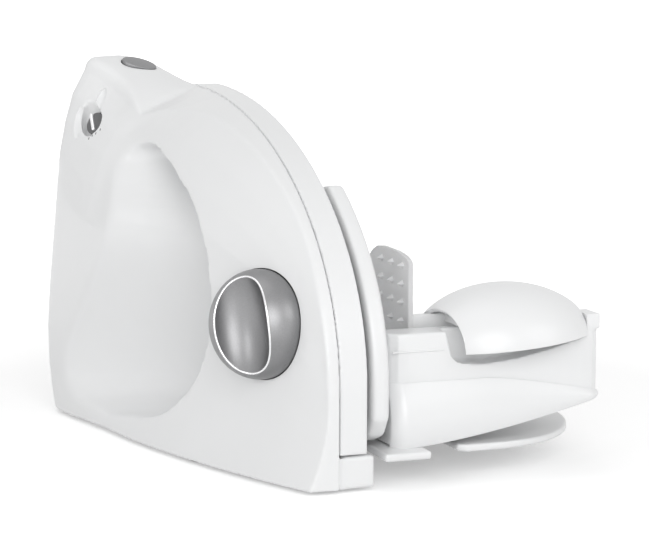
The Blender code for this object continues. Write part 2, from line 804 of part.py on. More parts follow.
def slot_outline():
    """Slot for the slices: between the bay's front edge and the gear cover."""
    points = []
    middle = (SLOT_LOW_Z + SLOT_HIGH_Z) / 2
    half = (SLOT_HIGH_Z - SLOT_LOW_Z) / 2
    for i in range(13):
        angle = math.radians(-90 + 180 * i / 12)
        points.append((SLOT_REAR_Y - (SLOT_REAR_Y - SLOT_FRONT_Y) * math.cos(angle),
                       middle + half * math.sin(angle)))
    return points


def blade_housing():
    """Blade side tray: floor, rim and slot, with bosses for the fence guides."""
    left = PARTING_X + GAP / 2
    floor = left + TRAY_FLOOR
    tray = flat_outline("blade_housing", tray_outline(0.0), left, TRAY_EDGE_X, "X", Shop.parts,
                        "white")
    pocket = flat_outline("tray_pocket", tray_outline(TRAY_RIM), floor, TRAY_EDGE_X + 0.01, "X",
                          Shop.cutters)
    slot = flat_outline("slice_slot", slot_outline(), left - 0.01, floor + 0.01, "X",
                        Shop.cutters)
    seat = rod("cover_seat", (left - 0.01, BLADE_Y, BLADE_Z), (1, 0, 0), SLOT_RADIUS - 0.003,
               0.02, Shop.cutters, sides=64)
    cut(slot, seat)
    cut(tray, pocket, slot)
    shaft_hole = rod("shaft_hole", (left - 0.01, BLADE_Y, BLADE_Z), (1, 0, 0),
                     SHAFT_RADIUS + 0.0035, 0.03, Shop.cutters)
    y, z = idler_spot()
    idler_hole = rod("idler_hole", (left - 0.01, y, z), (1, 0, 0), 0.0060, 0.03, Shop.cutters)
    holes = [shaft_hole, idler_hole]
    for k, z in enumerate((STEM_LOW_Z, STEM_HIGH_Z)):
        holes.append(rod(f"guide_hole_{k}", (left - 0.01, STEM_Y, z), (1, 0, 0),
                         STEM_RADIUS + 0.0022, 0.03, Shop.cutters))
    cut(tray, *holes)
    return finish(tray)


# Blade group

def idler_spot():
    """Depth and height of the idler shaft, one gear distance from the blade shaft."""
    distance = MODULE * (WHEEL_TEETH + PINION_TEETH) / 2
    return (BLADE_Y + distance * math.cos(IDLER_ANGLE), BLADE_Z + distance * math.sin(IDLER_ANGLE))


def gear_points(teeth, phase):
    """Toothed outline round the origin, teeth slimmed for backlash."""
    root = MODULE * (teeth / 2 - 1.35)
    tip = MODULE * (teeth / 2 + 0.8)
    points = []
    pitch = 2 * math.pi / teeth
    for k in range(teeth):
        middle = phase + k * pitch
        for radius, share in ((root, -0.27), (tip, -0.10), (tip, 0.10), (root, 0.27)):
            angle = middle + share * pitch
            points.append((radius * math.cos(angle), radius * math.sin(angle)))
    return points


def gear(name, teeth, phase, spot, width, bore):
    points = [(spot[0] + y, spot[1] + z) for y, z in gear_points(teeth, phase)]
    obj = flat_outline(name, points, GEAR_X, GEAR_X + width, "X", Shop.parts, "gear")
    hole = rod(name + "_bore", (GEAR_X - 0.01, *spot), (1, 0, 0), bore, 0.04, Shop.cutters)
    cut(obj, hole)
    return seat_origin(finish(obj), (GEAR_X, *spot))


def seat_origin(obj, point):
    """Move an object's own origin to a point on its joint axis."""
    obj.data.transform(Matrix.Translation(-Vector(point)) @ frame_of(obj))
    obj.matrix_local = Matrix.Translation(point)
    return obj


def blade():
    """Round blade with a ground bevel and a plain cutting edge."""
    half = BLADE_THICKNESS / 2
    profile = [(SHAFT_RADIUS + GAP, half), (BLADE_RADIUS - BLADE_BEVEL, half),
               (BLADE_RADIUS, -half + 0.0002), (BLADE_RADIUS, -half),
               (SHAFT_RADIUS + GAP, -half)]
    disc = turned("blade", profile, (BLADE_FACE_X - half, BLADE_Y, BLADE_Z), (-1, 0, 0),
                  Shop.parts, "steel", steps=80, ring=True)
    return finish(disc)


def blade_drive():
    """Shaft, hub, lock screw, bushes and the large gear on the blade's axis."""
    spot = (BLADE_Y, BLADE_Z)
    back = BLADE_FACE_X - BLADE_THICKNESS
    front = BLADE_FACE_X + 0.0010
    rod("blade_shaft", (PARTING_X - 0.008, *spot), (1, 0, 0), SHAFT_RADIUS,
        front - PARTING_X + 0.008, Shop.parts, "steel")
    turned("blade_hub",
           [(SHAFT_RADIUS + GAP, 0.0), (HUB_RADIUS - 0.001, 0.0), (HUB_RADIUS, -0.001),
            (HUB_RADIUS, -HUB_THICKNESS), (SHAFT_RADIUS + GAP, -HUB_THICKNESS)],
           (back - GAP, *spot), (1, 0, 0), Shop.parts, "clear_white", ring=True)
    lock = turned("blade_lock",
                  [(0.0, LOCK_THICKNESS), (LOCK_RADIUS - 0.002, LOCK_THICKNESS),
                   (LOCK_RADIUS, LOCK_THICKNESS - 0.001), (LOCK_RADIUS, 0.0),
                   (SHAFT_RADIUS + GAP, 0.0), (SHAFT_RADIUS + GAP, 0.0013), (0.0, 0.0013)],
                  (BLADE_FACE_X + GAP, *spot), (1, 0, 0), Shop.parts, "clear_white")
    slot = box("coin_slot", (-0.009, -0.001, LOCK_THICKNESS - 0.0009),
               (0.009, 0.001, LOCK_THICKNESS + 0.002), Shop.cutters)
    slot.matrix_local = frame_of(lock)
    cut(lock, slot)
    finish(lock)
    gear("blade_gear", WHEEL_TEETH, math.pi / WHEEL_TEETH + IDLER_ANGLE, spot, GEAR_WIDTH,
         SHAFT_RADIUS + GAP)


def gear_cover():
    """Cover over the large gear, with a bay for the pinion and the bush seat at its middle."""
    left = PARTING_X + GAP / 2 + TRAY_FLOOR + GAP
    depth = COVER_FRONT_X - left
    skin = 0.0024
    bore = SHAFT_RADIUS + 0.0035
    cover = turned("gear_cover",
                   [(bore, depth), (COVER_RADIUS - 0.010, depth),
                    (COVER_RADIUS - 0.004, depth - 0.002), (COVER_RADIUS, depth - 0.007),
                    (COVER_RADIUS, 0.0), (bore, 0.0)],
                   (left, BLADE_Y, BLADE_Z), (1, 0, 0), Shop.parts, "white", steps=56, ring=True)
    y, z = idler_spot()
    radius = MODULE * (PINION_TEETH / 2 + 0.8) + 0.0012
    bay = rod("pinion_bay", (left, y, z), (1, 0, 0), radius + skin, depth - 0.004, Shop.cutters)
    join(cover, bay)
    hollow = rod("cover_inside", (left - 0.01, BLADE_Y, BLADE_Z), (1, 0, 0),
                 COVER_RADIUS - skin, 0.01 + depth - 0.007, Shop.cutters, sides=56)
    join(hollow, rod("pinion_inside", (left - 0.012, y, z), (1, 0, 0), radius,
                     0.012 + depth - 0.004 - skin, Shop.cutters))
    cut(cover, hollow)
    return finish(cover)


def bush(name, start, direction, inner, outer, length):
    return turned(name, [(inner, length), (outer, length), (outer, 0.0), (inner, 0.0)], start,
                  direction, Shop.parts, "brass", steps=20, ring=True)


def bushes():
    left = PARTING_X + GAP / 2
    spot = (BLADE_Y, BLADE_Z)
    bush("blade_bush_rear", (left, *spot), (1, 0, 0), SHAFT_RADIUS + GAP,
         SHAFT_RADIUS + 0.0035 - GAP, TRAY_FLOOR)
    bush("blade_bush_front", (COVER_FRONT_X - 0.0065, *spot), (1, 0, 0), SHAFT_RADIUS + GAP,
         SHAFT_RADIUS + 0.0035 - GAP, 0.0065)
    bush("idler_bush", (left, *idler_spot()), (1, 0, 0), 0.0035 + GAP, 0.0060 - GAP, TRAY_FLOOR)
    for name, z in (("fence_bush_low", STEM_LOW_Z), ("fence_bush_high", STEM_HIGH_Z)):
        bush(name, (left - 0.004, STEM_Y, z), (1, 0, 0), STEM_RADIUS + GAP,
             STEM_RADIUS + 0.0022 - GAP, TRAY_FLOOR + 0.004)


def idler():
    """Idler shaft with the pinion at the blade side and the worm wheel at the motor side."""
    y, z = idler_spot()
    start = WORM_WHEEL_X - WORM_WHEEL_WIDTH / 2 - 0.004
    end = GEAR_X + GEAR_WIDTH + 0.001
    rod("idler_shaft", (start, y, z), (1, 0, 0), 0.0035, end - start, Shop.parts, "steel", 24)
    gear("pinion", PINION_TEETH, math.pi + IDLER_ANGLE, (y, z), GEAR_WIDTH - 0.0005,
         0.0035 + GAP)
    teeth = WORM_WHEEL_TEETH
    points = []
    for k in range(teeth):
        for radius, share in ((0.93, -0.3), (1.0, -0.12), (1.0, 0.12), (0.93, 0.3)):
            angle = 2 * math.pi * (k + share) / teeth
            points.append((y + WORM_WHEEL_RADIUS * radius * math.cos(angle),
                           z + WORM_WHEEL_RADIUS * radius * math.sin(angle)))
    left = WORM_WHEEL_X - WORM_WHEEL_WIDTH / 2
    wheel = flat_outline("worm_wheel", points, left, left + WORM_WHEEL_WIDTH, "X", Shop.parts,
                         "gear")
    hole = rod("worm_wheel_bore", (left - 0.01, y, z), (1, 0, 0), 0.0035 + GAP, 0.04,
               Shop.cutters)
    cut(wheel, hole)
    seat_origin(finish(wheel), (left, y, z))


# Motor group

def motor_spot():
    """Depth and height of the worm's middle, beside the worm wheel."""
    y, z = idler_spot()
    return y + WORM_WHEEL_RADIUS + WORM_RADIUS + WORM_THREAD + GAP, z


def motor_top_z():
    return motor_spot()[1] - WORM_LENGTH / 2 - MOTOR_TOP_GAP


def motor():
    """Motor standing below its worm: stator, windings, rotor, fan, commutator and shaft."""
    y, worm_z = motor_spot()
    x = WORM_WHEEL_X
    top = motor_top_z()
    low = top - MOTOR_STACK
    worm_top = worm_z + WORM_LENGTH / 2
    bottom = low - 0.014
    rod("motor_shaft", (x, y, bottom), (0, 0, 1), MOTOR_SHAFT_RADIUS, worm_top + 0.008 - bottom,
        Shop.parts, "steel", 20)
    bore = ROTOR_RADIUS + ROTOR_GAP
    turned("stator",
           [(bore, MOTOR_STACK), (MOTOR_RADIUS, MOTOR_STACK), (MOTOR_RADIUS, 0.0), (bore, 0.0)],
           (x, y, low), (0, 0, 1), Shop.parts, "iron", steps=32, ring=True)
    turned("rotor",
           [(MOTOR_SHAFT_RADIUS + GAP, MOTOR_STACK + 0.004),
            (ROTOR_RADIUS - 0.003, MOTOR_STACK + 0.004), (ROTOR_RADIUS, MOTOR_STACK),
            (ROTOR_RADIUS, 0.0), (ROTOR_RADIUS - 0.003, -0.003),
            (MOTOR_SHAFT_RADIUS + GAP, -0.003)],
           (x, y, low), (0, 0, 1), Shop.parts, "copper", steps=28, ring=True)
    turned("commutator",
           [(MOTOR_SHAFT_RADIUS + GAP, -0.0035), (0.0065, -0.0035), (0.0065, -0.0105),
            (MOTOR_SHAFT_RADIUS + GAP, -0.0105)],
           (x, y, low), (0, 0, 1), Shop.parts, "copper", steps=24, ring=True)
    for side, name in ((-1, "brush_left"), (1, "brush_right")):
        inner = 0.0065 + GAP
        box(name, (x + side * inner if side > 0 else x - inner - 0.008, y - 0.0022,
                   low - 0.0095),
            (x + inner + 0.008 if side > 0 else x - inner, y + 0.0022, low - 0.0045),
            Shop.parts, "dark")
    fan()
    worm()
    bush("motor_bush_top", (x, y, worm_top + 0.0015), (0, 0, 1), MOTOR_SHAFT_RADIUS + GAP,
         0.0055, 0.006)
    bush("motor_bush_low", (x, y, bottom + 0.0005), (0, 0, 1), MOTOR_SHAFT_RADIUS + GAP,
         0.0055, 0.0025)


def fan():
    """Cooling fan above the rotor: a hub with straight blades."""
    y, _ = motor_spot()
    x = WORM_WHEEL_X
    low = motor_top_z() + 0.0055
    hub = turned("fan", [(MOTOR_SHAFT_RADIUS + GAP, 0.0075), (0.006, 0.0075), (0.006, 0.0),
                         (MOTOR_SHAFT_RADIUS + GAP, 0.0)],
                 (x, y, low), (0, 0, 1), Shop.parts, "dark", steps=28, ring=True)
    vanes = []
    for k in range(7):
        vane = box(f"vane_{k}", (0.0052, -0.0005, 0.0005), (0.0150, 0.0005, 0.0055),
                   Shop.cutters)
        vane.matrix_local = (Matrix.Translation((x, y, low))
                             @ Matrix.Rotation(2 * math.pi * k / 7, 4, "Z"))
        vanes.append(vane)
    join(hub, *vanes)
    return finish(hub)


def worm():
    """Worm on the motor shaft: a core with one helical thread."""
    y, z = motor_spot()
    steps_round = 10
    turns = WORM_LENGTH / WORM_PITCH - 1.2
    core = turned("worm", [(MOTOR_SHAFT_RADIUS + GAP, WORM_LENGTH), (WORM_RADIUS, WORM_LENGTH),
                           (WORM_RADIUS, 0.0), (MOTOR_SHAFT_RADIUS + GAP, 0.0)],
                  (WORM_WHEEL_X, y, z - WORM_LENGTH / 2), (0, 0, 1), Shop.parts, "steel",
                  steps=20, ring=True)
    sections = []
    count = int(turns * steps_round)
    for k in range(count + 1):
        angle = 2 * math.pi * k / steps_round
        lift = 0.6 * WORM_PITCH + WORM_PITCH * k / steps_round
        along = Vector((math.cos(angle), math.sin(angle), 0.0))
        section = []
        for radius, half in ((-0.0010, -0.0012), (WORM_THREAD, -0.0005),
                             (WORM_THREAD, 0.0005), (-0.0010, 0.0012)):
            section.append(along * (WORM_RADIUS + radius) + Vector((0, 0, lift + half)))
        sections.append(section)
    thread = loft("worm_thread", sections, Shop.cutters)
    thread.matrix_local = frame_of(core)
    join(core, thread)
    return finish(core)


def gearbox_bracket():
    """Bracket that carries the motor and the idler behind the slice bay."""
    y, worm_z = motor_spot()
    x = WORM_WHEEL_X
    low = motor_top_z() - MOTOR_STACK
    right = PARTING_X - GAP / 2 - GAP
    back = y + MOTOR_RADIUS + 0.0015
    plate = box("gearbox_bracket", (x - 0.012, back, low - 0.016),
                (right, back + 0.003, worm_z + WORM_LENGTH / 2 + 0.012), Shop.parts,
                "clear_white")
    top_low = worm_z + WORM_LENGTH / 2 + 0.0018
    top_arm = box("top_arm", (x - 0.010, y - 0.008, top_low), (right, back + 0.001, top_low + 0.005),
                  Shop.cutters)
    low_arm = box("low_arm", (x - 0.009, y - 0.007, low - 0.0138),
                  (right, back + 0.001, low - 0.0112), Shop.cutters)
    join(plate, top_arm, low_arm)
    bore = rod("bracket_bore", (x, y, low - 0.03), (0, 0, 1), 0.0055 + GAP, 0.2, Shop.cutters)
    cut(plate, bore)
    return finish(plate)


# Fence and knob

def fence_outline(inset=0.0):
    """Fence outline: the sail edge in front, the blade's clearance arc behind."""
    offset = FENCE_INSET + inset
    reach = BLADE_RADIUS + FENCE_BLADE_GAP + inset
    points = [(BLADE_Y - 0.052, FENCE_BOTTOM_Z + inset), (0.020, FENCE_BOTTOM_Z + inset),
              (0.0085, FENCE_BOTTOM_Z + 0.0045 + inset * 0.6)]
    steps = 18
    low = FENCE_BOTTOM_Z + 0.016
    for i in range(steps + 1):
        z = low + (FENCE_TIP_Z - inset - low) * i / steps
        points.append((front_y(z, offset), z))
    tip_y = points[-1][0]
    points.append((tip_y + 0.003, FENCE_TIP_Z - inset - 0.0004))
    high = math.acos(min((FENCE_TIP_Z - inset - 0.006 - BLADE_Z) / reach, 1.0))
    low_angle = math.acos(max((FENCE_BOTTOM_Z + inset - BLADE_Z) / reach, -1.0))
    for i in range(17):
        angle = high + (low_angle - high) * i / 16
        points.append((BLADE_Y - reach * math.sin(angle), BLADE_Z + reach * math.cos(angle)))
    return points[1:]


def fence():
    """Fence plate, hollow at the back, on two guide stems."""
    right = BLADE_FACE_X - GAP
    left = right - FENCE_THICKNESS
    plate = flat_outline("fence", fence_outline(), left, right, "X", Shop.parts, "white", 0.0012)
    hollow = flat_outline("fence_hollow", fence_outline(FENCE_SKIN), left - 0.01,
                          right - FENCE_SKIN, "X", Shop.cutters)
    cut(plate, hollow)
    stems = []
    for k, z in enumerate((STEM_LOW_Z, STEM_HIGH_Z)):
        stems.append(rod(f"stem_{k}", (right - FENCE_SKIN + 0.001, STEM_Y, z), (-1, 0, 0),
                         STEM_RADIUS, STEM_LENGTH, Shop.cutters, sides=24))
    join(plate, *stems)
    return finish(plate)


def knob():
    """Domed knob with a leaf-shaped scoop, its base ring and its spindle with the cam."""
    axis = knob_axis()
    seat = knob_seat()
    radius = KNOB_BASE_RADIUS - KNOB_RIM - GAP
    base = turned("knob_base",
                  [(SPINDLE_RADIUS + GAP, -KNOB_BASE_PLATE), (radius + GAP, -KNOB_BASE_PLATE),
                   (radius + GAP, -0.0008), (KNOB_BASE_RADIUS, -0.0008),
                   (KNOB_BASE_RADIUS, -KNOB_BASE_DEPTH),
                   (SPINDLE_RADIUS + GAP, -KNOB_BASE_DEPTH)],
                  seat, axis, Shop.parts, "dark", steps=56, ring=True)
    finish(base)
    profile = []
    for i in range(11):
        angle = math.radians(90) * (10 - i) / 10
        profile.append((radius * math.cos(angle) if i else 0.0, KNOB_HEIGHT * math.sin(angle)))
    profile += [(radius, -KNOB_SKIRT), (SPINDLE_RADIUS + GAP, -KNOB_SKIRT),
                (SPINDLE_RADIUS + GAP, 0.0025), (0.0, 0.0025)]
    grip = turned("thickness_knob", profile, seat, axis, Shop.parts, "silver", steps=48)
    cut(grip, knob_scoop(seat))
    finish(grip)
    spindle = rod("knob_spindle", seat + axis * 0.0020, -axis, SPINDLE_RADIUS, 0.0240,
                  Shop.parts, "steel", 24)
    up_way = knob_turn().col[1].to_3d()
    cam = rod("cam_disc", seat - axis * 0.0130, -axis, CAM_RADIUS, CAM_THICKNESS, Shop.cutters,
              sides=40)
    notch = rod("cam_notch", seat - axis * 0.0120 + up_way * (CAM_RADIUS + 0.002), -axis, 0.0045,
                CAM_THICKNESS + 0.004, Shop.cutters, sides=20)
    cut(cam, notch)
    join(spindle, cam)
    finish(spindle)


def knob_scoop(seat):
    """Bowl with an oval mouth, turned a little about the knob's axis."""
    bm = bmesh.new()
    bmesh.ops.create_uvsphere(bm, u_segments=40, v_segments=24, radius=1.0)
    bmesh.ops.scale(bm, vec=(*SCOOP_HALF, SCOOP_DEPTH), verts=bm.verts)
    bowl = from_bmesh("knob_scoop", bm, Shop.cutters)
    mouth = oval("scoop_mouth", 2 * SCOOP_HALF[0], 2 * SCOOP_HALF[1], 0.0, KNOB_HEIGHT,
                 Shop.cutters, sides=40)
    place_scoop = (Matrix.Translation(seat) @ knob_turn() @ Matrix.Translation(SCOOP_CENTRE)
                   @ Matrix.Rotation(SCOOP_LEAN, 4, "Z"))
    bowl.matrix_local = place_scoop
    mouth.matrix_local = place_scoop
    return join(bowl, mouth)


# Button and selector

def button():
    """Oval main button, its sprung stem and the switch below it."""
    spot, normal = button_frame()
    cap = oval("main_button", BUTTON_LENGTH, BUTTON_WIDTH, -0.006, BUTTON_PROUD, Shop.parts,
               "silver", 0.0008)
    aim_flat(cap, spot, normal)
    stem = rod("button_stem", spot - normal * 0.0055, -normal, 0.0022, 0.0080, Shop.cutters,
               sides=16)
    join(cap, stem)
    finish(cap)
    low = spot - normal * (0.0135 + BUTTON_TRAVEL + RUN_GAP)
    box("main_switch", (low.x - 0.008, low.y - 0.011, low.z - 0.014),
        (low.x + 0.008, REAR_Y - WALL - GAP, low.z - 0.003), Shop.parts, "dark")


def selector():
    """Round selector with its finger ridge."""
    spot, normal = selector_frame()
    face = -SELECTOR_SINK
    low = face - SELECTOR_THICKNESS
    disc = turned("speed_selector",
                  [(0.0, face), (SELECTOR_RADIUS - 0.0008, face),
                   (SELECTOR_RADIUS, face - 0.0008), (SELECTOR_RADIUS, low),
                   (0.0025, low), (0.0025, low - 0.005), (0.0, low - 0.005)],
                  spot, normal, Shop.parts, "silver", steps=36)
    ridge = box("selector_ridge", (-0.0010, -SELECTOR_RADIUS + 0.0010, face - 0.001),
                (0.0010, SELECTOR_RADIUS - 0.0010, face + SELECTOR_RIDGE), Shop.cutters)
    aim_flat(ridge, spot, normal)
    join(disc, ridge)
    return finish(disc)


# Base

def base_plate():
    """Base moulding: rail plate, outrigger plate, the web between them and the tongue."""
    low = BASE_TOP_Z - BASE_PLATE
    rail = box("base_plate", (RAIL_LEFT_X, RAIL_FRONT_Y, low),
               (RAIL_RIGHT_X, BASE_REAR_Y, BASE_TOP_Z), Shop.parts, "white", 0.0008)
    points = [(OUTRIGGER_LEFT_X, OUTRIGGER_REAR_Y), (OUTRIGGER_LEFT_X, OUTRIGGER_FRONT_Y + 0.004),
              (OUTRIGGER_LEFT_X + 0.004, OUTRIGGER_FRONT_Y)]
    corner_x = OUTRIGGER_LEFT_X + 0.018
    for i in range(13):
        angle = math.radians(90) * i / 12
        points.append((corner_x + (OUTRIGGER_RIGHT_X - corner_x) * math.sin(angle) ** 0.9,
                       OUTRIGGER_FRONT_Y + (OUTRIGGER_CORNER_Y - OUTRIGGER_FRONT_Y)
                       * (1 - math.cos(angle))))
    for i in range(1, 7):
        angle = math.radians(90) * i / 6
        points.append((OUTRIGGER_RIGHT_X - 0.030 * (1 - math.cos(angle)),
                       OUTRIGGER_REAR_Y - 0.030 * (1 - math.sin(angle))))
    outrigger = flat_outline("outrigger", points, low, BASE_TOP_Z - 0.0002, "Z", Shop.cutters,
                             round_edge=0.0009)
    web = box("web", (RAIL_RIGHT_X - 0.002, WEB_FRONT_Y, low + 0.0004),
              (OUTRIGGER_LEFT_X + 0.002, OUTRIGGER_REAR_Y, BASE_TOP_Z - 0.0012), Shop.cutters)
    inner = PARTING_X + 0.0005
    outline = [*TONGUE_OUTLINE, (inner + 0.002, TONGUE_OUTLINE[-1][1]),
               (inner + 0.002, TONGUE_OUTLINE[0][1])]
    tongue = flat_outline("tongue", outline, WALL + GAP, TONGUE_TOP_Z, "Z", Shop.cutters)
    bridge = box("bridge", (inner, TOE_LENGTH + 0.0006, 0.006),
                 (RAIL_LEFT_X + 0.002, TONGUE_OUTLINE[-1][1], BASE_TOP_Z - 0.0001), Shop.cutters)
    hollow = box("bridge_hollow", (inner + 0.003, TOE_LENGTH + 0.004, 0.0),
                 (RAIL_LEFT_X - 0.004, BASE_REAR_Y - 0.008, BASE_TOP_Z - 0.003), Shop.cutters)
    cut(bridge, hollow)
    bosses = []
    for k, (x, y) in enumerate(FOOT_SPOTS):
        if x > RAIL_RIGHT_X:
            bosses.append(rod(f"leg_{k}", (x, y, 0.0045), (0, 0, 1), FOOT_RADIUS - 0.002,
                              low - 0.0035, Shop.cutters))
    join(rail, web, outrigger, bridge, tongue, *bosses)
    return finish(rail)


def feet():
    """Four suction feet, cup downwards."""
    for k, (x, y) in enumerate(FOOT_SPOTS):
        top = 0.0045 - GAP if x > RAIL_RIGHT_X else -GAP
        turned(f"suction_foot_{k + 1}",
               [(0.0, top), (FOOT_RADIUS - 0.003, top), (FOOT_RADIUS, -FOOT_PROUD + 0.0006),
                (FOOT_RADIUS, -FOOT_PROUD), (FOOT_RADIUS - 0.003, -FOOT_PROUD),
                (0.0, -FOOT_PROUD + 0.0008)],
               (x, y, 0.0), (0, 0, 1), Shop.parts, "rubber", steps=24)


# Carriage and pusher

def along_carriage(x):
    """Share of the carriage's width, 0 at the blade and 1 at the outer end."""
    return (x - CARRIAGE_LEFT_X) / (CARRIAGE_RIGHT_X - CARRIAGE_LEFT_X)


def carriage_low_z(x):
    share = along_carriage(x)
    return CARRIAGE_LOW_Z + (CARRIAGE_HIGH_Z - CARRIAGE_LOW_Z) * share ** 1.6


def carriage_ridge_z(x):
    share = max(along_carriage(x) - 0.45, 0.0) / 0.55
    return CARRIAGE_RIDGE_Z + (CARRIAGE_RIDGE_END_Z - CARRIAGE_RIDGE_Z) * share ** 1.3


def carriage_form(name, inset, collection, material=None):
    """Carriage as a loft of upright sections from the blade to the outer end."""
    sections = []
    steps = 16
    left = CARRIAGE_LEFT_X + inset
    right = CARRIAGE_RIGHT_X - inset
    for k in range(steps + 1):
        x = left + (right - left) * (1 - math.cos(math.pi * k / steps)) / 2
        share = along_carriage(x)
        low = carriage_low_z(x) - (0.01 if inset else 0.0)
        ridge = carriage_ridge_z(x) - inset
        top = CARRIAGE_TOP_Z - inset
        near = min(x - left, right - x)
        turn_in = 0.006 * max(1 - near / 0.008, 0.0) ** 2
        front = CARRIAGE_FRONT_Y + inset + turn_in
        bulge = SKIRT_BULGE * (1 - 0.75 * share)
        back = CARRIAGE_FRONT_Y + CARRIAGE_WALL_DEPTH - inset
        rear = CARRIAGE_REAR_Y - inset
        floor = CARRIAGE_FLOOR_Z - inset
        floor = max(floor, low + 0.0015)
        skirt = []
        for i in range(1, 6):
            part = i / 6
            skirt.append((x, front - bulge * math.sin(math.pi * min(part * 0.8, 1)),
                          ridge + (low - ridge) * part))
        section = [(x, rear, low), (x, rear, floor), (x, back, floor), (x, back, top),
                   (x, front + 0.001, top), (x, front, top - 0.001), (x, front, ridge)]
        section += skirt
        section.append((x, front - bulge * 0.35, low))
        sections.append(section)
    return loft(name, sections, collection, material)


def niche_outline(grow=0.0):
    """Scalloped niche in the carriage wall under the pusher's hood."""
    right = POST_LEFT_X + grow
    return [(0.0885 - grow, 0.095), (0.0890 - grow, 0.0820 - grow), (0.0925 - grow, 0.0690 - grow),
            (0.0955, 0.0662 - grow), (0.1000, 0.0648 - grow), (0.1130, 0.0641 - grow),
            (0.1340, 0.0662 - grow), (0.1540, 0.0702 - grow), (0.1700, 0.0746 - grow),
            (right - 0.0010, 0.0766 - grow), (right, 0.0790 - grow), (right, 0.095)]


def carriage():
    """Food carriage: wall, floor and belly in one moulding, with its runner."""
    body = carriage_form("carriage", 0.0, Shop.parts, "white")
    hollow = carriage_form("carriage_hollow", CARRIAGE_SKIN, Shop.cutters)
    niche = flat_outline("niche", niche_outline(), CARRIAGE_FRONT_Y - 0.01,
                         CARRIAGE_FRONT_Y + NICHE_DEPTH, "Y", Shop.cutters)
    backing = flat_outline("niche_back", niche_outline(CARRIAGE_SKIN), CARRIAGE_FRONT_Y - 0.02,
                           CARRIAGE_FRONT_Y + NICHE_DEPTH + CARRIAGE_SKIN, "Y", Shop.cutters)
    cut(hollow, backing)
    groove = box("rim_groove", (CARRIAGE_LEFT_X - 0.01, CARRIAGE_FRONT_Y - 0.01, 0.0735),
                 (0.0885, CARRIAGE_FRONT_Y + 0.0005, 0.0741), Shop.cutters)
    post = box("post", (POST_LEFT_X, CARRIAGE_FRONT_Y + 0.0008, CARRIAGE_TOP_Z - 0.004),
               (CARRIAGE_RIGHT_X - 0.0004, CARRIAGE_FRONT_Y + CARRIAGE_WALL_DEPTH - 0.0004,
                CARRIAGE_END_TOP_Z), Shop.cutters)
    join(body, post)
    cut(body, hollow, niche, groove)
    runner = box("runner", (RUNNER_LEFT_X, CARRIAGE_FRONT_Y + 0.010, BASE_TOP_Z + GAP),
                 (RUNNER_RIGHT_X, CARRIAGE_REAR_Y - 0.004, CARRIAGE_FLOOR_Z - 0.001),
                 Shop.cutters)
    join(body, runner)
    return seat_origin(finish(body), (RUNNER_LEFT_X, CARRIAGE_FRONT_Y, BASE_TOP_Z))


def pusher_hood():
    """Domed finger guard: part of an egg shape with an open side and bottom, and its arm."""
    bm = bmesh.new()
    bmesh.ops.create_uvsphere(bm, u_segments=36, v_segments=20, radius=1.0)
    bmesh.ops.scale(bm, vec=HOOD_SIZE, verts=bm.verts)
    bmesh.ops.translate(bm, vec=HOOD_CENTRE, verts=bm.verts)
    slope = HOOD_LOW_SLOPE
    planes = (((HOOD_RIGHT_X, 0, 0), (1, 0, 0), True),
              ((HOOD_LEFT_X, 0, 0), (-1, 0, 0), False),
              ((HOOD_LEFT_X, 0, HOOD_LOW_Z), (slope, 0, -1), False))
    for spot, normal, closed in planes:
        done = bmesh.ops.bisect_plane(bm, geom=bm.verts[:] + bm.edges[:] + bm.faces[:],
                                      plane_co=spot, plane_no=normal, clear_outer=True)
        if closed:
            rim = [item for item in done["geom_cut"] if isinstance(item, bmesh.types.BMEdge)]
            bmesh.ops.edgeloop_fill(bm, edges=rim)
    hood = from_bmesh("pusher_hood", bm, Shop.parts, "white")
    solid = hood.modifiers.new("Skin", "SOLIDIFY")
    solid.thickness = HOOD_SKIN
    solid.offset = -1.0
    wall_slot = box("wall_slot", (0.15, CARRIAGE_FRONT_Y + NICHE_DEPTH - 0.0006, 0.05),
                    (0.20, CARRIAGE_FRONT_Y + CARRIAGE_WALL_DEPTH + 0.0006,
                     CARRIAGE_TOP_Z + 0.0006), Shop.cutters)
    cut(hood, wall_slot)
    arm_y = SPIKE_PLATE_FRONT_Y + 0.0060
    arm_left = SPIKE_PLATE_X + SPIKE_PLATE_THICKNESS + GAP
    arm = box("arm", (arm_left, arm_y, 0.0580), (HOOD_LEFT_X + 0.006, arm_y + 0.004, 0.0900),
              Shop.cutters)
    reach = HOOD_SIZE[1] * math.sqrt(1 - ((HOOD_LEFT_X + 0.004 - HOOD_CENTRE[0])
                                          / HOOD_SIZE[0]) ** 2) * 0.80
    rib = box("rib", (HOOD_LEFT_X + 0.002, HOOD_CENTRE[1] - reach, 0.0852),
              (HOOD_LEFT_X + 0.006, HOOD_CENTRE[1] + reach, 0.0895), Shop.cutters)
    join(hood, arm, rib)
    return finish(hood)


def pusher():
    """Pusher: the hood with its arm, and the spiked plate on the arm's end."""
    pusher_hood()
    spike_plate()


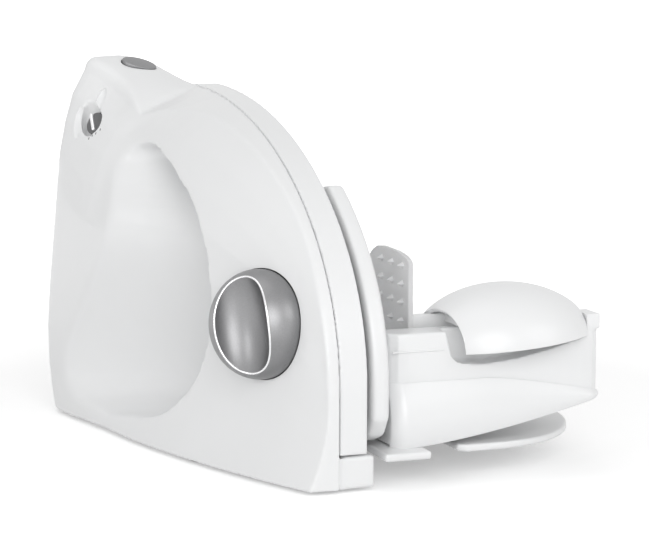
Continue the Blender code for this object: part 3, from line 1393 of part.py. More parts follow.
def spike_plate():
    """Upright plate with rows of pointed pins that hold the food."""
    top = SPIKE_PLATE_TOP_Z
    points = [(SPIKE_PLATE_FRONT_Y, SPIKE_PLATE_LOW_Z), (SPIKE_PLATE_REAR_Y, SPIKE_PLATE_LOW_Z)]
    for i in range(7):
        angle = math.radians(90) * i / 6
        points.append((SPIKE_PLATE_REAR_Y - 0.030 * (1 - math.cos(angle)),
                       top - 0.030 * (1 - math.sin(angle))))
    for i in range(1, 7):
        angle = math.radians(90) * i / 6
        points.append((SPIKE_PLATE_FRONT_Y + 0.026 * (1 - math.sin(angle)),
                       top - 0.0055 * (1 - math.cos(angle))))
    plate = flat_outline("spike_plate", points, SPIKE_PLATE_X,
                         SPIKE_PLATE_X + SPIKE_PLATE_THICKNESS, "X", Shop.parts, "clear_white",
                         0.0005)
    pins = []
    z = top - 0.0071
    while z > SPIKE_PLATE_LOW_Z + 0.006:
        y = SPIKE_PLATE_FRONT_Y + 0.0089
        while y < SPIKE_PLATE_REAR_Y - 0.006:
            if z < top - 0.020 or y < SPIKE_PLATE_REAR_Y - 0.016:
                pins.append(spike(f"pin_{len(pins)}", y, z))
            y += SPIKE_PITCH_Y
        z -= SPIKE_PITCH_Z
    join(plate, *pins)
    return finish(plate)


def spike(name, y, z):
    bm = bmesh.new()
    bmesh.ops.create_cone(bm, cap_ends=True, segments=4, radius1=SPIKE_RADIUS * 1.4,
                          radius2=0.0002, depth=SPIKE_LENGTH + 0.001)
    obj = from_bmesh(name, bm, Shop.cutters)
    reach = SPIKE_PLATE_X + 0.001 - (SPIKE_LENGTH + 0.001) / 2
    return aim(obj, (reach, y, z), (-1, 0, 0))


# Small hardware

def gland():
    """Cord gland in the rear wall, with no cord."""
    turned("cord_gland",
           [(0.0030, 0.0035), (0.0075, 0.0030), (0.0075, 0.0), (0.0055 - GAP, 0.0),
            (0.0055 - GAP, -0.0085), (0.0030, -0.0085)],
           (-0.020, REAR_Y + GAP, 0.030), (0, 1, 0), Shop.parts, "dark", steps=28, ring=True)


def main():
    clear_scene()
    open_shop()
    motor_housing()
    blade_housing()
    gear_cover()
    base_plate()
    feet()
    blade()
    blade_drive()
    bushes()
    idler()
    motor()
    gearbox_bracket()
    fence()
    knob()
    button()
    selector()
    carriage()
    pusher()
    gland()
    centre_on_footprint()


main()
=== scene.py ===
"""Finishes, softened moulding edges and a plain studio for an electric food slicer."""

import json
import math

import bpy
from bpy.props import FloatProperty, FloatVectorProperty, IntProperty, PointerProperty
from mathutils import Matrix, Vector


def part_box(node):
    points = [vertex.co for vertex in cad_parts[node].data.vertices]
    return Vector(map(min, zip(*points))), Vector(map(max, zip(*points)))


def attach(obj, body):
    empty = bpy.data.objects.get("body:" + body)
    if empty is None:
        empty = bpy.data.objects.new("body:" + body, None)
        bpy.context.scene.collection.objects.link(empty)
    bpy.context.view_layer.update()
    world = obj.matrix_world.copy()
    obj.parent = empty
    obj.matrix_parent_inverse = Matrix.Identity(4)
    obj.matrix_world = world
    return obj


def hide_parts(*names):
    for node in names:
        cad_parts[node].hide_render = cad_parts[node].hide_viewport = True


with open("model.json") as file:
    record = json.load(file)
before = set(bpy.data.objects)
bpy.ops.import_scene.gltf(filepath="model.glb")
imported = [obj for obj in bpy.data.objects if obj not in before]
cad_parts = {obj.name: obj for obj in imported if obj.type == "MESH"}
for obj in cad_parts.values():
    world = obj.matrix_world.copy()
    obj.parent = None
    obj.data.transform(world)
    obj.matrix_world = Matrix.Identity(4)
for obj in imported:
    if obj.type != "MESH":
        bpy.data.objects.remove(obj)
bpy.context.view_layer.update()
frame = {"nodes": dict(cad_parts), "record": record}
NODES = frame["nodes"]

bl_info = {
    "name": "Food slicer looks",
    "version": (1, 0, 0),
    "blender": (4, 5, 0),
    "location": "View3D > Sidebar > Slicer",
    "description": "Dresses the food slicer's frame with moulded, lacquered and ground finishes",
    "category": "Object",
}

# The drawing frame: X from the front corner of the motor side towards the carriage, Y away from
# the operator, Z up from the underside of the housing.
HOUSING_LOW, HOUSING_HIGH = (Vector(corner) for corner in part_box("motor_housing"))
TOE_RIGHT = 0.0405
PARTING = 0.0190
SAIL_FRONT = -0.002
DRAWING = Vector((HOUSING_HIGH.x - TOE_RIGHT, HOUSING_LOW.y - SAIL_FRONT, HOUSING_LOW.z))
UP = Vector((0.0, 0.0, 1.0))
ROUND_SIDES = 96
BALL_SEGMENTS = 128


def at(x, y, z):
    """A point of the drawing frame, in the scene."""
    return DRAWING + Vector((x, y, z))


class SlicerFinish(bpy.types.PropertyGroup):
    """Colours and roughness of the finishes."""

    white: FloatVectorProperty(
        name="Housing white", description="Colour of the glossy moulded parts", subtype="COLOR",
        size=3, min=0.0, max=1.0, default=(0.845, 0.85, 0.855))
    satin: FloatVectorProperty(
        name="Satin white", description="Colour of the satin inner parts", subtype="COLOR",
        size=3, min=0.0, max=1.0, default=(0.79, 0.795, 0.80))
    silver: FloatVectorProperty(
        name="Silver lacquer", description="Colour of the knob, button and selector",
        subtype="COLOR", size=3, min=0.0, max=1.0, default=(0.27, 0.27, 0.275))
    gloss: FloatProperty(
        name="Moulding roughness", description="Roughness of the glossy moulded parts",
        subtype="FACTOR", min=0.0, max=1.0, default=0.32)


class SlicerForm(bpy.types.PropertyGroup):
    """Sizes of the softened edges."""

    voxel: FloatProperty(
        name="Moulding grid", description="Grid size that rounds the edges of the large mouldings",
        subtype="DISTANCE", unit="LENGTH", min=0.0006, max=0.004, default=0.0013)
    passes: IntProperty(
        name="Edge passes", description="Smoothing passes over all moulded edges", min=0,
        max=40, default=5)
    bay_passes: IntProperty(
        name="Bay passes", description="Extra smoothing passes on the soft rear edge of the bay",
        min=0, max=200, default=60)
    well_radius: FloatProperty(
        name="Knob well", description="Radius of the round well that the knob sits in",
        subtype="DISTANCE", unit="LENGTH", min=0.02, max=0.05, default=0.0319)
    selector_bore: FloatProperty(
        name="Selector bore", description="Radius of the hole that the selector sits in",
        subtype="DISTANCE", unit="LENGTH", min=0.004, max=0.02, default=0.0078)
    fence_depth: FloatProperty(
        name="Fence depth", description="Depth of the fence's edge from front to back",
        subtype="DISTANCE", unit="LENGTH", min=0.004, max=0.02, default=0.0120)
    fence_bead: FloatProperty(
        name="Fence bead", description="Growth that brings the fence back to its outline",
        subtype="DISTANCE", unit="LENGTH", min=0.0, max=0.004, default=0.0013)
    fence_passes: IntProperty(
        name="Fence passes", description="Smoothing passes that round the fence's edge", min=0,
        max=200, default=36)
    button_slot: FloatVectorProperty(
        name="Button slot", description="Half length and half width of the button's slot",
        subtype="XYZ_LENGTH", unit="LENGTH", size=2, default=(0.0121, 0.00785))
    knob_radius: FloatProperty(
        name="Knob radius", description="Radius of the lacquered dome", subtype="DISTANCE",
        unit="LENGTH", min=0.02, max=0.05, default=0.0314)
    knob_height: FloatProperty(
        name="Knob height", description="Height of the dome above its base", subtype="DISTANCE",
        unit="LENGTH", min=0.01, max=0.05, default=0.0255)
    scoop_half: FloatVectorProperty(
        name="Scoop size", description="Half length, half width and depth of the bowl",
        subtype="XYZ_LENGTH", unit="LENGTH", size=3, default=(0.0188, 0.0370, 0.0175))
    scoop_centre: FloatVectorProperty(
        name="Scoop place", description="Middle of the bowl's mouth above the knob's base",
        subtype="XYZ_LENGTH", unit="LENGTH", size=3, default=(0.0068, 0.0, 0.0235))
    scoop_lean: FloatProperty(
        name="Scoop lean", description="Turn of the bowl about the knob's axis", subtype="ANGLE",
        unit="ROTATION", default=math.radians(13.0))
    knob_passes: IntProperty(
        name="Rim passes", description="Smoothing passes that round the scoop's rim", min=0,
        max=60, default=8)
    knob_grid: FloatProperty(
        name="Knob grid", description="Grid size that rounds the rim of the knob's scoop",
        subtype="DISTANCE", unit="LENGTH", min=0.0003, max=0.002, default=0.00045)


class SlicerStudio(bpy.types.PropertyGroup):
    """Camera and lamps."""

    lens: FloatProperty(
        name="Lens", description="Focal length of the camera", subtype="DISTANCE_CAMERA",
        unit="CAMERA", min=10.0, max=400.0, default=149.74)
    front: FloatProperty(
        name="Front lamp", description="Power of the large soft lamp in front", subtype="POWER",
        unit="POWER", min=0.0, max=500.0, default=12.4)
    left: FloatProperty(
        name="Left lamp", description="Power of the small lamp on the left", subtype="POWER",
        unit="POWER", min=0.0, max=500.0, default=3.4)
    right: FloatProperty(
        name="Right lamp", description="Power of the lamp on the right", subtype="POWER",
        unit="POWER", min=0.0, max=500.0, default=2.6)
    top: FloatProperty(
        name="Top lamp", description="Power of the lamp above", subtype="POWER",
        unit="POWER", min=0.0, max=500.0, default=1.6)
    room: FloatProperty(
        name="Room light", description="Even light from all round", min=0.0, max=2.0,
        default=0.52)


# Working with the scene

def alone(obj):
    """Make one object the only selected and active one."""
    if bpy.context.object and bpy.context.object.mode != "OBJECT":
        bpy.ops.object.mode_set(mode="OBJECT")
    bpy.ops.object.select_all(action="DESELECT")
    obj.select_set(True)
    bpy.context.view_layer.objects.active = obj
    return obj


def named(name):
    """Name the active object and its data."""
    obj = bpy.context.object
    obj.name = name
    obj.data.name = name
    return obj


def applied(obj, kind, **settings):
    """Add a modifier with its settings and apply it."""
    alone(obj)
    modifier = obj.modifiers.new(kind.title(), kind)
    for key, value in settings.items():
        setattr(modifier, key, value)
    bpy.ops.object.modifier_apply(modifier=modifier.name)
    return obj


def smooth_under(piece, degrees):
    """Shade a piece smooth where its faces meet at less than an angle."""
    alone(piece)
    bpy.ops.object.shade_smooth_by_angle(angle=math.radians(degrees))


MERGE_GAP = 0.00002
LEAST_WEIGHT = 0.01
CRISP_REACH = 0.003
MOST_TRIANGLES = 185000


def copy_of_node(node, name):
    """A merged copy of a CAD node's mesh, as a new piece."""
    source = NODES[node]
    piece = bpy.data.objects.new(name, source.data.copy())
    piece.data.name = name
    bpy.context.collection.objects.link(piece)
    alone(piece)
    if piece.data.has_custom_normals:
        bpy.ops.mesh.customdata_custom_splitnormals_clear()
    bpy.ops.object.mode_set(mode="EDIT")
    bpy.ops.mesh.select_all(action="SELECT")
    bpy.ops.mesh.remove_doubles(threshold=MERGE_GAP)
    bpy.ops.object.mode_set(mode="OBJECT")
    return piece


def weigh(piece, name, weight_of):
    """A vertex group whose weights come from a function of the place."""
    group = piece.vertex_groups.new(name=name)
    for vertex in piece.data.vertices:
        weight = weight_of(vertex.co - DRAWING)
        if weight > LEAST_WEIGHT:
            group.add([vertex.index], min(weight, 1.0), "REPLACE")
    return group


def thinned(piece):
    """Keep a piece under a number of triangles."""
    count = sum(len(face.vertices) - 2 for face in piece.data.polygons)
    if count > MOST_TRIANGLES:
        applied(piece, "DECIMATE", ratio=MOST_TRIANGLES / count)
    return piece


def crisp_weight(spot):
    """The edges along the parting plane between the two halves of the housing."""
    return min(max(2.0 - abs(spot.x - PARTING) / CRISP_REACH, 0.0), 1.0)


def moulded(node, name, voxel, passes, body, extra=None, bores=()):
    """A moulding as it leaves its tool: the node's form with all its edges a little round."""
    piece = copy_of_node(node, name)
    for bore in bores:
        close_bore(piece, *bore)
    applied(piece, "REMESH", mode="VOXEL", voxel_size=voxel, use_smooth_shade=True)
    applied(piece, "SMOOTH", factor=0.5, iterations=passes)
    for number, (count, weight_of) in enumerate(extra or ()):
        group = weigh(piece, f"soft_{number}", weight_of)
        applied(piece, "SMOOTH", factor=0.5, iterations=count, vertex_group=group.name)
        piece.vertex_groups.clear()
    thinned(piece)
    if body == "housing" and node != "base_plate":
        group = weigh(piece, "crisp", crisp_weight)
        target = copy_of_node(node, name + "_edges")
        applied(piece, "SHRINKWRAP", target=target, wrap_method="NEAREST_SURFACEPOINT",
                vertex_group=group.name)
        bpy.data.objects.remove(target)
        piece.vertex_groups.clear()
    for place, half_length, half_width, reach in bores:
        cut_by(piece, column(name + "_bore", place, half_length, half_width, -reach, reach))
    smooth_under(piece, 50)
    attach(piece, body)
    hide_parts(node)
    return piece


def frame_on(spot, axis, along=None):
    """Frame at a point: Z along an axis, X level or as near as can be to a direction."""
    axis = axis.normalized()
    side = UP.cross(axis) if along is None else along - axis * along.dot(axis)
    side = side.normalized()
    turn = Matrix((side, axis.cross(side), axis)).transposed().to_4x4()
    return Matrix.Translation(spot) @ turn


def joint_of(name):
    """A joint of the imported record."""
    return next(item for item in frame["record"]["behaviour"]["joints"] if item["name"] == name)


def joint_frame(name):
    """A joint's place and axis as a frame: Z along the axis, X level."""
    joint = joint_of(name)
    return frame_on(joint.get("pos_m", (0.0, 0.0, 0.0)), Vector(joint["axis"]))


def button_frame():
    """Middle of the button's top face, long side along X."""
    axis = Vector(joint_of("button_press")["axis"]).normalized()
    spots = [vertex.co for vertex in NODES["main_button"].data.vertices]
    high = max(spot.dot(axis) for spot in spots)
    top = [spot for spot in spots if spot.dot(axis) > high - 0.0002]
    return frame_on(sum(top, Vector()) / len(top), axis, Vector((1.0, 0.0, 0.0)))


def settled(piece, place):
    """Put a piece that was built at the origin in its place and apply its transform."""
    alone(piece)
    piece.matrix_world = place @ piece.matrix_world
    bpy.ops.object.transform_apply(location=True, rotation=True, scale=True)
    return piece


def column(name, place, half_length, half_width, low, high):
    """Round or oval column about the Z of a frame."""
    bpy.ops.mesh.primitive_cylinder_add(vertices=ROUND_SIDES, radius=1.0, depth=high - low,
                                        location=(0.0, 0.0, (low + high) / 2))
    piece = named(name)
    piece.scale = (half_length, half_width, 1.0)
    return settled(piece, place)


def block(name, low, high, round_edge=0.0, place=Matrix()):
    """Box between two corners of a frame, its edges rounded."""
    low, high = Vector(low), Vector(high)
    bpy.ops.mesh.primitive_cube_add(size=1.0, location=(low + high) / 2)
    piece = named(name)
    piece.scale = high - low
    settled(piece, place)
    if round_edge:
        applied(piece, "BEVEL", width=round_edge, segments=3)
    return piece


def ball(name, place, half_sizes):
    """Ball or egg about the origin of a frame."""
    bpy.ops.mesh.primitive_uv_sphere_add(segments=BALL_SEGMENTS, ring_count=BALL_SEGMENTS // 2,
                                         radius=1.0)
    piece = named(name)
    piece.scale = half_sizes
    return settled(piece, place)


def cut_by(piece, cutter):
    """Take a cutter out of a piece and drop the cutter."""
    applied(piece, "BOOLEAN", operation="DIFFERENCE", solver="EXACT", object=cutter)
    bpy.data.objects.remove(cutter)
    return piece


WALL_TILT = 0.25
WALL_SLACK = 0.03


def close_bore(piece, place, half_length, half_width, reach):
    """Close an opening of a merged copy: drop its wall faces and fill the edges left open."""
    alone(piece)
    back = place.inverted()
    turn = back.to_3x3()
    bpy.ops.object.mode_set(mode="EDIT")
    bpy.ops.mesh.select_all(action="DESELECT")
    bpy.ops.object.mode_set(mode="OBJECT")
    found = 0
    for face in piece.data.polygons:
        spots = [back @ piece.data.vertices[i].co for i in face.vertices]
        rings = [math.hypot(spot.x / half_length, spot.y / half_width) for spot in spots]
        flat = abs((turn @ face.normal).z) < WALL_TILT
        near = all(abs(spot.z) < reach for spot in spots)
        face.select = flat and near and all(abs(ring - 1.0) < WALL_SLACK for ring in rings)
        found += face.select
    if not found:
        raise RuntimeError("no wall faces found for an opening")
    bpy.ops.object.mode_set(mode="EDIT")
    bpy.ops.mesh.delete(type="FACE")
    bpy.ops.mesh.select_all(action="SELECT")
    bpy.ops.mesh.fill_holes(sides=0)
    bpy.ops.mesh.normals_make_consistent(inside=False)
    bpy.ops.object.mode_set(mode="OBJECT")
    return piece


def body_of(node):
    """The moving body that holds a node."""
    for body, members in frame["record"]["behaviour"]["bodies"].items():
        if node in members:
            return body
    raise RuntimeError(f"no body holds {node}")


# Shader groups

# Noise scales, tones and ranges of the three surfaces
FLOW_SCALE, FLOW_DARK, FLOW_LIGHT = 9.0, (0.990, 0.991, 0.989), 1.003
HANDLING_SCALE, HANDLING_RANGE = 34.0, (-0.035, 0.045)
FLAKE_RANGE = (0.90, 1.10)
LACQUER_SCALE, LACQUER_RANGE = 60.0, (-0.03, 0.04)
SMEAR_SCALE, SMEAR_RANGE = 45.0, (-0.03, 0.06)


def new_group(name, inputs, outputs):
    """A shader group with its sockets and its two end nodes."""
    group = bpy.data.node_groups.new(name, "ShaderNodeTree")
    for label, kind, value in inputs:
        socket = group.interface.new_socket(label, in_out="INPUT", socket_type=kind)
        socket.default_value = value
    for label, kind in outputs:
        group.interface.new_socket(label, in_out="OUTPUT", socket_type=kind)
    inside = group.nodes.new("NodeGroupInput")
    outside = group.nodes.new("NodeGroupOutput")
    return group, inside, outside


def noise(tree, vector, scale, detail=2.0, rough=0.5):
    """Noise from 0 to 1 over a place."""
    node = tree.nodes.new("ShaderNodeTexNoise")
    node.inputs["Detail"].default_value = detail
    node.inputs["Roughness"].default_value = rough
    tree.links.new(vector, node.inputs["Vector"])
    if hasattr(scale, "is_output"):
        tree.links.new(scale, node.inputs["Scale"])
    else:
        node.inputs["Scale"].default_value = scale
    return node.outputs["Fac"]


def scaled(tree, value, low, high):
    """Spread a 0 to 1 value between two levels."""
    node = tree.nodes.new("ShaderNodeMapRange")
    tree.links.new(value, node.inputs["Value"])
    for label, level in (("To Min", low), ("To Max", high)):
        if hasattr(level, "is_output"):
            tree.links.new(level, node.inputs[label])
        else:
            node.inputs[label].default_value = level
    return node.outputs["Result"]


def sums(tree, kind, first, second):
    """One sum of two values or sockets."""
    node = tree.nodes.new("ShaderNodeMath")
    node.operation = kind
    for socket, value in zip(node.inputs, (first, second)):
        if hasattr(value, "is_output"):
            tree.links.new(value, socket)
        else:
            socket.default_value = value
    return node.outputs[0]


def moulding_group():
    """Surface of moulded plastic: faint flow tone, handling gloss and fine orange peel."""
    group, inside, outside = new_group(
        "Moulded surface",
        [("Colour", "NodeSocketColor", (0.8, 0.8, 0.8, 1.0)), ("Gloss", "NodeSocketFloat", 0.3),
         ("Grain Scale", "NodeSocketFloat", 900.0)],
        [("Colour", "NodeSocketColor"), ("Roughness", "NodeSocketFloat"),
         ("Height", "NodeSocketFloat")])
    place = group.nodes.new("ShaderNodeTexCoord").outputs["Object"]
    flow = noise(group, place, FLOW_SCALE, 3.0)
    tone = group.nodes.new("ShaderNodeMix")
    tone.data_type = "RGBA"
    tone.blend_type = "MULTIPLY"
    tone.inputs[0].default_value = 1.0
    shade = group.nodes.new("ShaderNodeCombineColor")
    for k, level in enumerate(FLOW_DARK):
        group.links.new(scaled(group, flow, level, FLOW_LIGHT), shade.inputs[k])
    group.links.new(inside.outputs["Colour"], tone.inputs[6])
    group.links.new(shade.outputs[0], tone.inputs[7])
    group.links.new(tone.outputs[2], outside.inputs["Colour"])
    touch = noise(group, place, HANDLING_SCALE, 4.0, 0.6)
    rough = sums(group, "ADD", inside.outputs["Gloss"], scaled(group, touch, *HANDLING_RANGE))
    group.links.new(rough, outside.inputs["Roughness"])
    peel = noise(group, place, inside.outputs["Grain Scale"], 2.0)
    group.links.new(peel, outside.inputs["Height"])
    return group


def lacquer_group():
    """Silver lacquer: fine metal flakes under a clear layer."""
    group, inside, outside = new_group(
        "Silver flake",
        [("Colour", "NodeSocketColor", (0.5, 0.5, 0.5, 1.0)), ("Gloss", "NodeSocketFloat", 0.3),
         ("Flake Scale", "NodeSocketFloat", 5200.0)],
        [("Colour", "NodeSocketColor"), ("Roughness", "NodeSocketFloat"),
         ("Height", "NodeSocketFloat")])
    place = group.nodes.new("ShaderNodeTexCoord").outputs["Object"]
    cells = group.nodes.new("ShaderNodeTexVoronoi")
    group.links.new(place, cells.inputs["Vector"])
    group.links.new(inside.outputs["Flake Scale"], cells.inputs["Scale"])
    sparkle = group.nodes.new("ShaderNodeSeparateColor")
    group.links.new(cells.outputs["Color"], sparkle.inputs[0])
    level = scaled(group, sparkle.outputs[0], *FLAKE_RANGE)
    shade = group.nodes.new("ShaderNodeCombineColor")
    for socket in shade.inputs[:3]:
        group.links.new(level, socket)
    tone = group.nodes.new("ShaderNodeMix")
    tone.data_type = "RGBA"
    tone.blend_type = "MULTIPLY"
    tone.inputs[0].default_value = 1.0
    group.links.new(inside.outputs["Colour"], tone.inputs[6])
    group.links.new(shade.outputs[0], tone.inputs[7])
    group.links.new(tone.outputs[2], outside.inputs["Colour"])
    touch = noise(group, place, LACQUER_SCALE, 3.0)
    rough = sums(group, "ADD", inside.outputs["Gloss"], scaled(group, touch, *LACQUER_RANGE))
    group.links.new(rough, outside.inputs["Roughness"])
    group.links.new(sparkle.outputs[1], outside.inputs["Height"])
    return group


def grind_group():
    """Ground or drawn metal: rings round an axis through a centre, with light smears."""
    group, inside, outside = new_group(
        "Ground rings",
        [("Centre", "NodeSocketVector", (0.0, 0.0, 0.0)), ("Rings", "NodeSocketFloat", 2600.0),
         ("Gloss", "NodeSocketFloat", 0.2)],
        [("Mask", "NodeSocketFloat"), ("Roughness", "NodeSocketFloat"),
         ("Height", "NodeSocketFloat")])
    place = group.nodes.new("ShaderNodeTexCoord").outputs["Object"]
    away = group.nodes.new("ShaderNodeVectorMath")
    away.operation = "SUBTRACT"
    group.links.new(place, away.inputs[0])
    group.links.new(inside.outputs["Centre"], away.inputs[1])
    parts = group.nodes.new("ShaderNodeSeparateXYZ")
    group.links.new(away.outputs[0], parts.inputs[0])
    across = sums(group, "MULTIPLY", parts.outputs[1], parts.outputs[1])
    upward = sums(group, "MULTIPLY", parts.outputs[2], parts.outputs[2])
    radius = sums(group, "SQRT", sums(group, "ADD", across, upward), 0.0)
    ring = group.nodes.new("ShaderNodeTexNoise")
    ring.noise_dimensions = "1D"
    group.links.new(sums(group, "MULTIPLY", radius, inside.outputs["Rings"]), ring.inputs["W"])
    ring.inputs["Scale"].default_value = 1.0
    smear = noise(group, place, SMEAR_SCALE, 3.0)
    group.links.new(smear, outside.inputs["Mask"])
    rough = sums(group, "ADD", inside.outputs["Gloss"], scaled(group, smear, *SMEAR_RANGE))
    group.links.new(rough, outside.inputs["Roughness"])
    group.links.new(ring.outputs["Fac"], outside.inputs["Height"])
    return group


GROUPS = {}
FINISHES = {}
COAT_ROUGHNESS = 0.08
CLEARNESS = 0.45


def shader_group(name):
    """One of the surface groups, made at its first use."""
    makers = {"moulding": moulding_group, "lacquer": lacquer_group, "grind": grind_group}
    if name not in GROUPS:
        GROUPS[name] = makers[name]()
    return GROUPS[name]


def new_material(name):
    """A material with its tree and its shader."""
    material = bpy.data.materials.new(name)
    material.use_nodes = True
    return material, material.node_tree, material.node_tree.nodes["Principled BSDF"]


def raised(tree, shader, height, strength, distance):
    """Fine relief on a shader's normal."""
    bump = tree.nodes.new("ShaderNodeBump")
    bump.inputs["Strength"].default_value = strength
    bump.inputs["Distance"].default_value = distance
    tree.links.new(height, bump.inputs["Height"])
    tree.links.new(bump.outputs[0], shader.inputs["Normal"])


def covered(name, group_name, colour, gloss, relief, metallic=0.0, coat=0.0, **values):
    """Material whose colour, roughness and relief come from a surface group."""
    material, tree, shader = new_material(name)
    surface = tree.nodes.new("ShaderNodeGroup")
    surface.node_tree = shader_group(group_name)
    surface.inputs["Gloss"].default_value = gloss
    for label, value in values.items():
        surface.inputs[label.replace("_", " ").title()].default_value = value
    if "Colour" in surface.inputs:
        surface.inputs["Colour"].default_value = (*colour, 1.0)
        tree.links.new(surface.outputs["Colour"], shader.inputs["Base Color"])
    else:
        shader.inputs["Base Color"].default_value = (*colour, 1.0)
    tree.links.new(surface.outputs["Roughness"], shader.inputs["Roughness"])
    raised(tree, shader, surface.outputs["Height"], *relief)
    shader.inputs["Metallic"].default_value = metallic
    shader.inputs["Coat Weight"].default_value = coat
    shader.inputs["Coat Roughness"].default_value = COAT_ROUGHNESS
    FINISHES[name] = material
    return material


def dress(obj, finish):
    """Give a piece one finish by its name."""
    obj.data.materials.clear()
    obj.data.materials.append(FINISHES[finish])


class SLICER_OT_finishes(bpy.types.Operator):
    """Give every piece of the frame its finish"""

    bl_idname = "slicer.finishes"
    bl_label = "Finishes"

    def execute(self, context):
        finish = context.scene.slicer_finish
        covered("white_gloss", "moulding", finish.white, finish.gloss, (0.015, 0.0001), coat=0.15)
        covered("white_satin", "moulding", finish.satin, 0.42, (0.12, 0.0002),
                Grain_Scale=1400.0)
        covered("silver_lacquer", "lacquer", finish.silver, 0.40, (0.03, 0.00003),
                metallic=1.0)
        # Light metal: the selector fin's own colour, and on the knob's rim bead a painted
        # highlight
        covered("bright_rim", "lacquer", (0.86, 0.86, 0.87), 0.22, (0.02, 0.00003), metallic=1.0)
        covered("dark_lacquer", "lacquer", (0.11, 0.11, 0.113), 0.32, (0.03, 0.00003),
                metallic=0.4, coat=0.3)
        clear = covered("clear_white", "moulding", (0.93, 0.93, 0.935), 0.45, (0.03, 0.0001))
        see_through = clear.node_tree.nodes["Principled BSDF"].inputs["Transmission Weight"]
        see_through.default_value = CLEARNESS
        covered("dark_plastic", "moulding", (0.035, 0.035, 0.038), 0.42, (0.15, 0.0002),
                Grain_Scale=1800.0)
        covered("foot_rubber", "moulding", (0.045, 0.045, 0.045), 0.75, (0.3, 0.0003),
                Grain_Scale=2600.0)
        covered("gear_nylon", "moulding", (0.74, 0.70, 0.58), 0.45, (0.1, 0.0002),
                Grain_Scale=1600.0)
        blade_low, blade_high = (Vector(corner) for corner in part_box("blade"))
        middle = (blade_low + blade_high) / 2
        covered("polished_steel", "grind", (0.66, 0.665, 0.67), 0.20, (0.10, 0.00004),
                metallic=1.0, Centre=middle)
        covered("winding_copper", "lacquer", (0.55, 0.26, 0.12), 0.40, (0.2, 0.0001),
                metallic=1.0, Flake_Scale=900.0)
        covered("motor_iron", "lacquer", (0.30, 0.30, 0.31), 0.50, (0.2, 0.0001),
                metallic=1.0, Flake_Scale=2400.0)
        covered("bush_bronze", "lacquer", (0.62, 0.45, 0.24), 0.42, (0.15, 0.00006),
                metallic=1.0, Flake_Scale=4200.0)
        for part in frame["record"]["subparts"]:
            dress(NODES[part["node"]], part["material_slot"])
        dress(NODES["spike_plate"], "clear_white")
        return {"FINISHED"}


# Large mouldings

def near_edge(y, z, path, reach):
    """Weight that fades with the distance from a path of (y, z) points."""
    best = reach
    for first, second in zip(path, path[1:]):
        start = Vector(first)
        span = Vector(second) - start
        share = (Vector((y, z)) - start).dot(span) / span.length_squared
        spot = start + span * min(max(share, 0.0), 1.0)
        best = min(best, (Vector((y, z)) - spot).length)
    return 1 - best / reach


# Points of (y, z) along the edges of the slice bay, in the drawing frame
BAY_FRONT_PATH = ((0.190, 0.010), (0.162, 0.0118), (0.137, 0.0172), (0.1094, 0.0381),
                  (0.0944, 0.0727), (0.0937, 0.1079), (0.1161, 0.1431), (0.156, 0.1667),
                  (0.192, 0.1772))
BAY_REAR_PATH = ((0.200, 0.177), (0.214, 0.172), (0.2155, 0.158), (0.2045, 0.143),
                 (0.2015, 0.125), (0.2075, 0.108), (0.218, 0.090), (0.232, 0.073),
                 (0.2445, 0.054), (0.252, 0.038), (0.253, 0.024), (0.2455, 0.016),
                 (0.234, 0.012), (0.205, 0.011), (0.168, 0.014))
BAY_REACH = 0.014
BAY_FROM, BAY_FADE = -0.020, 0.012
RIM_REACH = 0.007
RIM_FROM = -0.016
RIM_PASSES = 10

# Hollows of the selector's recess: y, z and half sizes
RECESS_LOBES = ((0.2556, 0.1995, (0.0085, 0.0034, 0.0024)),
                (0.2622, 0.1850, (0.0105, 0.0048, 0.0020)))
# Ticks of the selector's scale: y and z
TICK_SPOTS = ((0.2482, 0.1762), (0.2462, 0.1780), (0.2440, 0.1797), (0.2415, 0.1822))
TICK_LOW, TICK_HIGH = (-0.0007, -0.0003, -0.0002), (0.0007, 0.0003, 0.00006)
KNOB_REACH, SELECTOR_REACH, BUTTON_REACH = 0.012, 0.018, 0.016


def bay_weight(spot):
    """The rear and low edges of the slice bay on the outer face."""
    if spot.x > BAY_FROM:
        return 0.0
    weight = near_edge(spot.y, spot.z, BAY_REAR_PATH, BAY_REACH)
    fade = min(max((BAY_FROM - spot.x) / BAY_FADE, 0.0), 1.0)
    return min(weight * 1.6, 1.0) * fade if weight > 0 else 0.0


def rim_weight(spot):
    """The sharp front rim of the slice bay."""
    if spot.x > RIM_FROM:
        return 0.0
    return min(max(near_edge(spot.y, spot.z, BAY_FRONT_PATH, RIM_REACH), 0.0) * 2.0, 1.0)


def face_frame(piece, y, z):
    """Frame on the outer face of the motor side, Z outwards and X upwards."""
    hit, spot, normal, _ = piece.ray_cast(at(-0.3, y, z), Vector((1.0, 0.0, 0.0)))
    if not hit:
        raise RuntimeError("no outer face at this place")
    return frame_on(spot, normal, UP)


class SLICER_OT_motor_side(bpy.types.Operator):
    """Mould the motor side with its soft bay edge"""

    bl_idname = "slicer.motor_side"
    bl_label = "Motor side"

    def execute(self, context):
        form = context.scene.slicer_form
        well, bore = form.well_radius, form.selector_bore
        bores = ((joint_frame("knob_turn"), well, well, KNOB_REACH),
                 (joint_frame("selector_turn"), bore, bore, SELECTOR_REACH),
                 (button_frame(), *form.button_slot, BUTTON_REACH))
        piece = moulded("motor_housing", "motor_side_moulding", form.voxel, form.passes,
                        "housing",
                        [(form.bay_passes, bay_weight), (RIM_PASSES, rim_weight)], bores)
        lobes = [ball(f"lobe_{y}", face_frame(piece, y, z), sizes)
                 for y, z, sizes in RECESS_LOBES]
        for lobe in lobes:
            cut_by(piece, lobe)
        smooth_under(piece, 50)
        dress(piece, "white_gloss")
        for number, (y, z) in enumerate(TICK_SPOTS, 1):
            tick = block(f"selector_tick_{number}", TICK_LOW, TICK_HIGH, 0.0,
                         face_frame(piece, y, z))
            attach(tick, "housing")
            dress(tick, "dark_plastic")
        return {"FINISHED"}


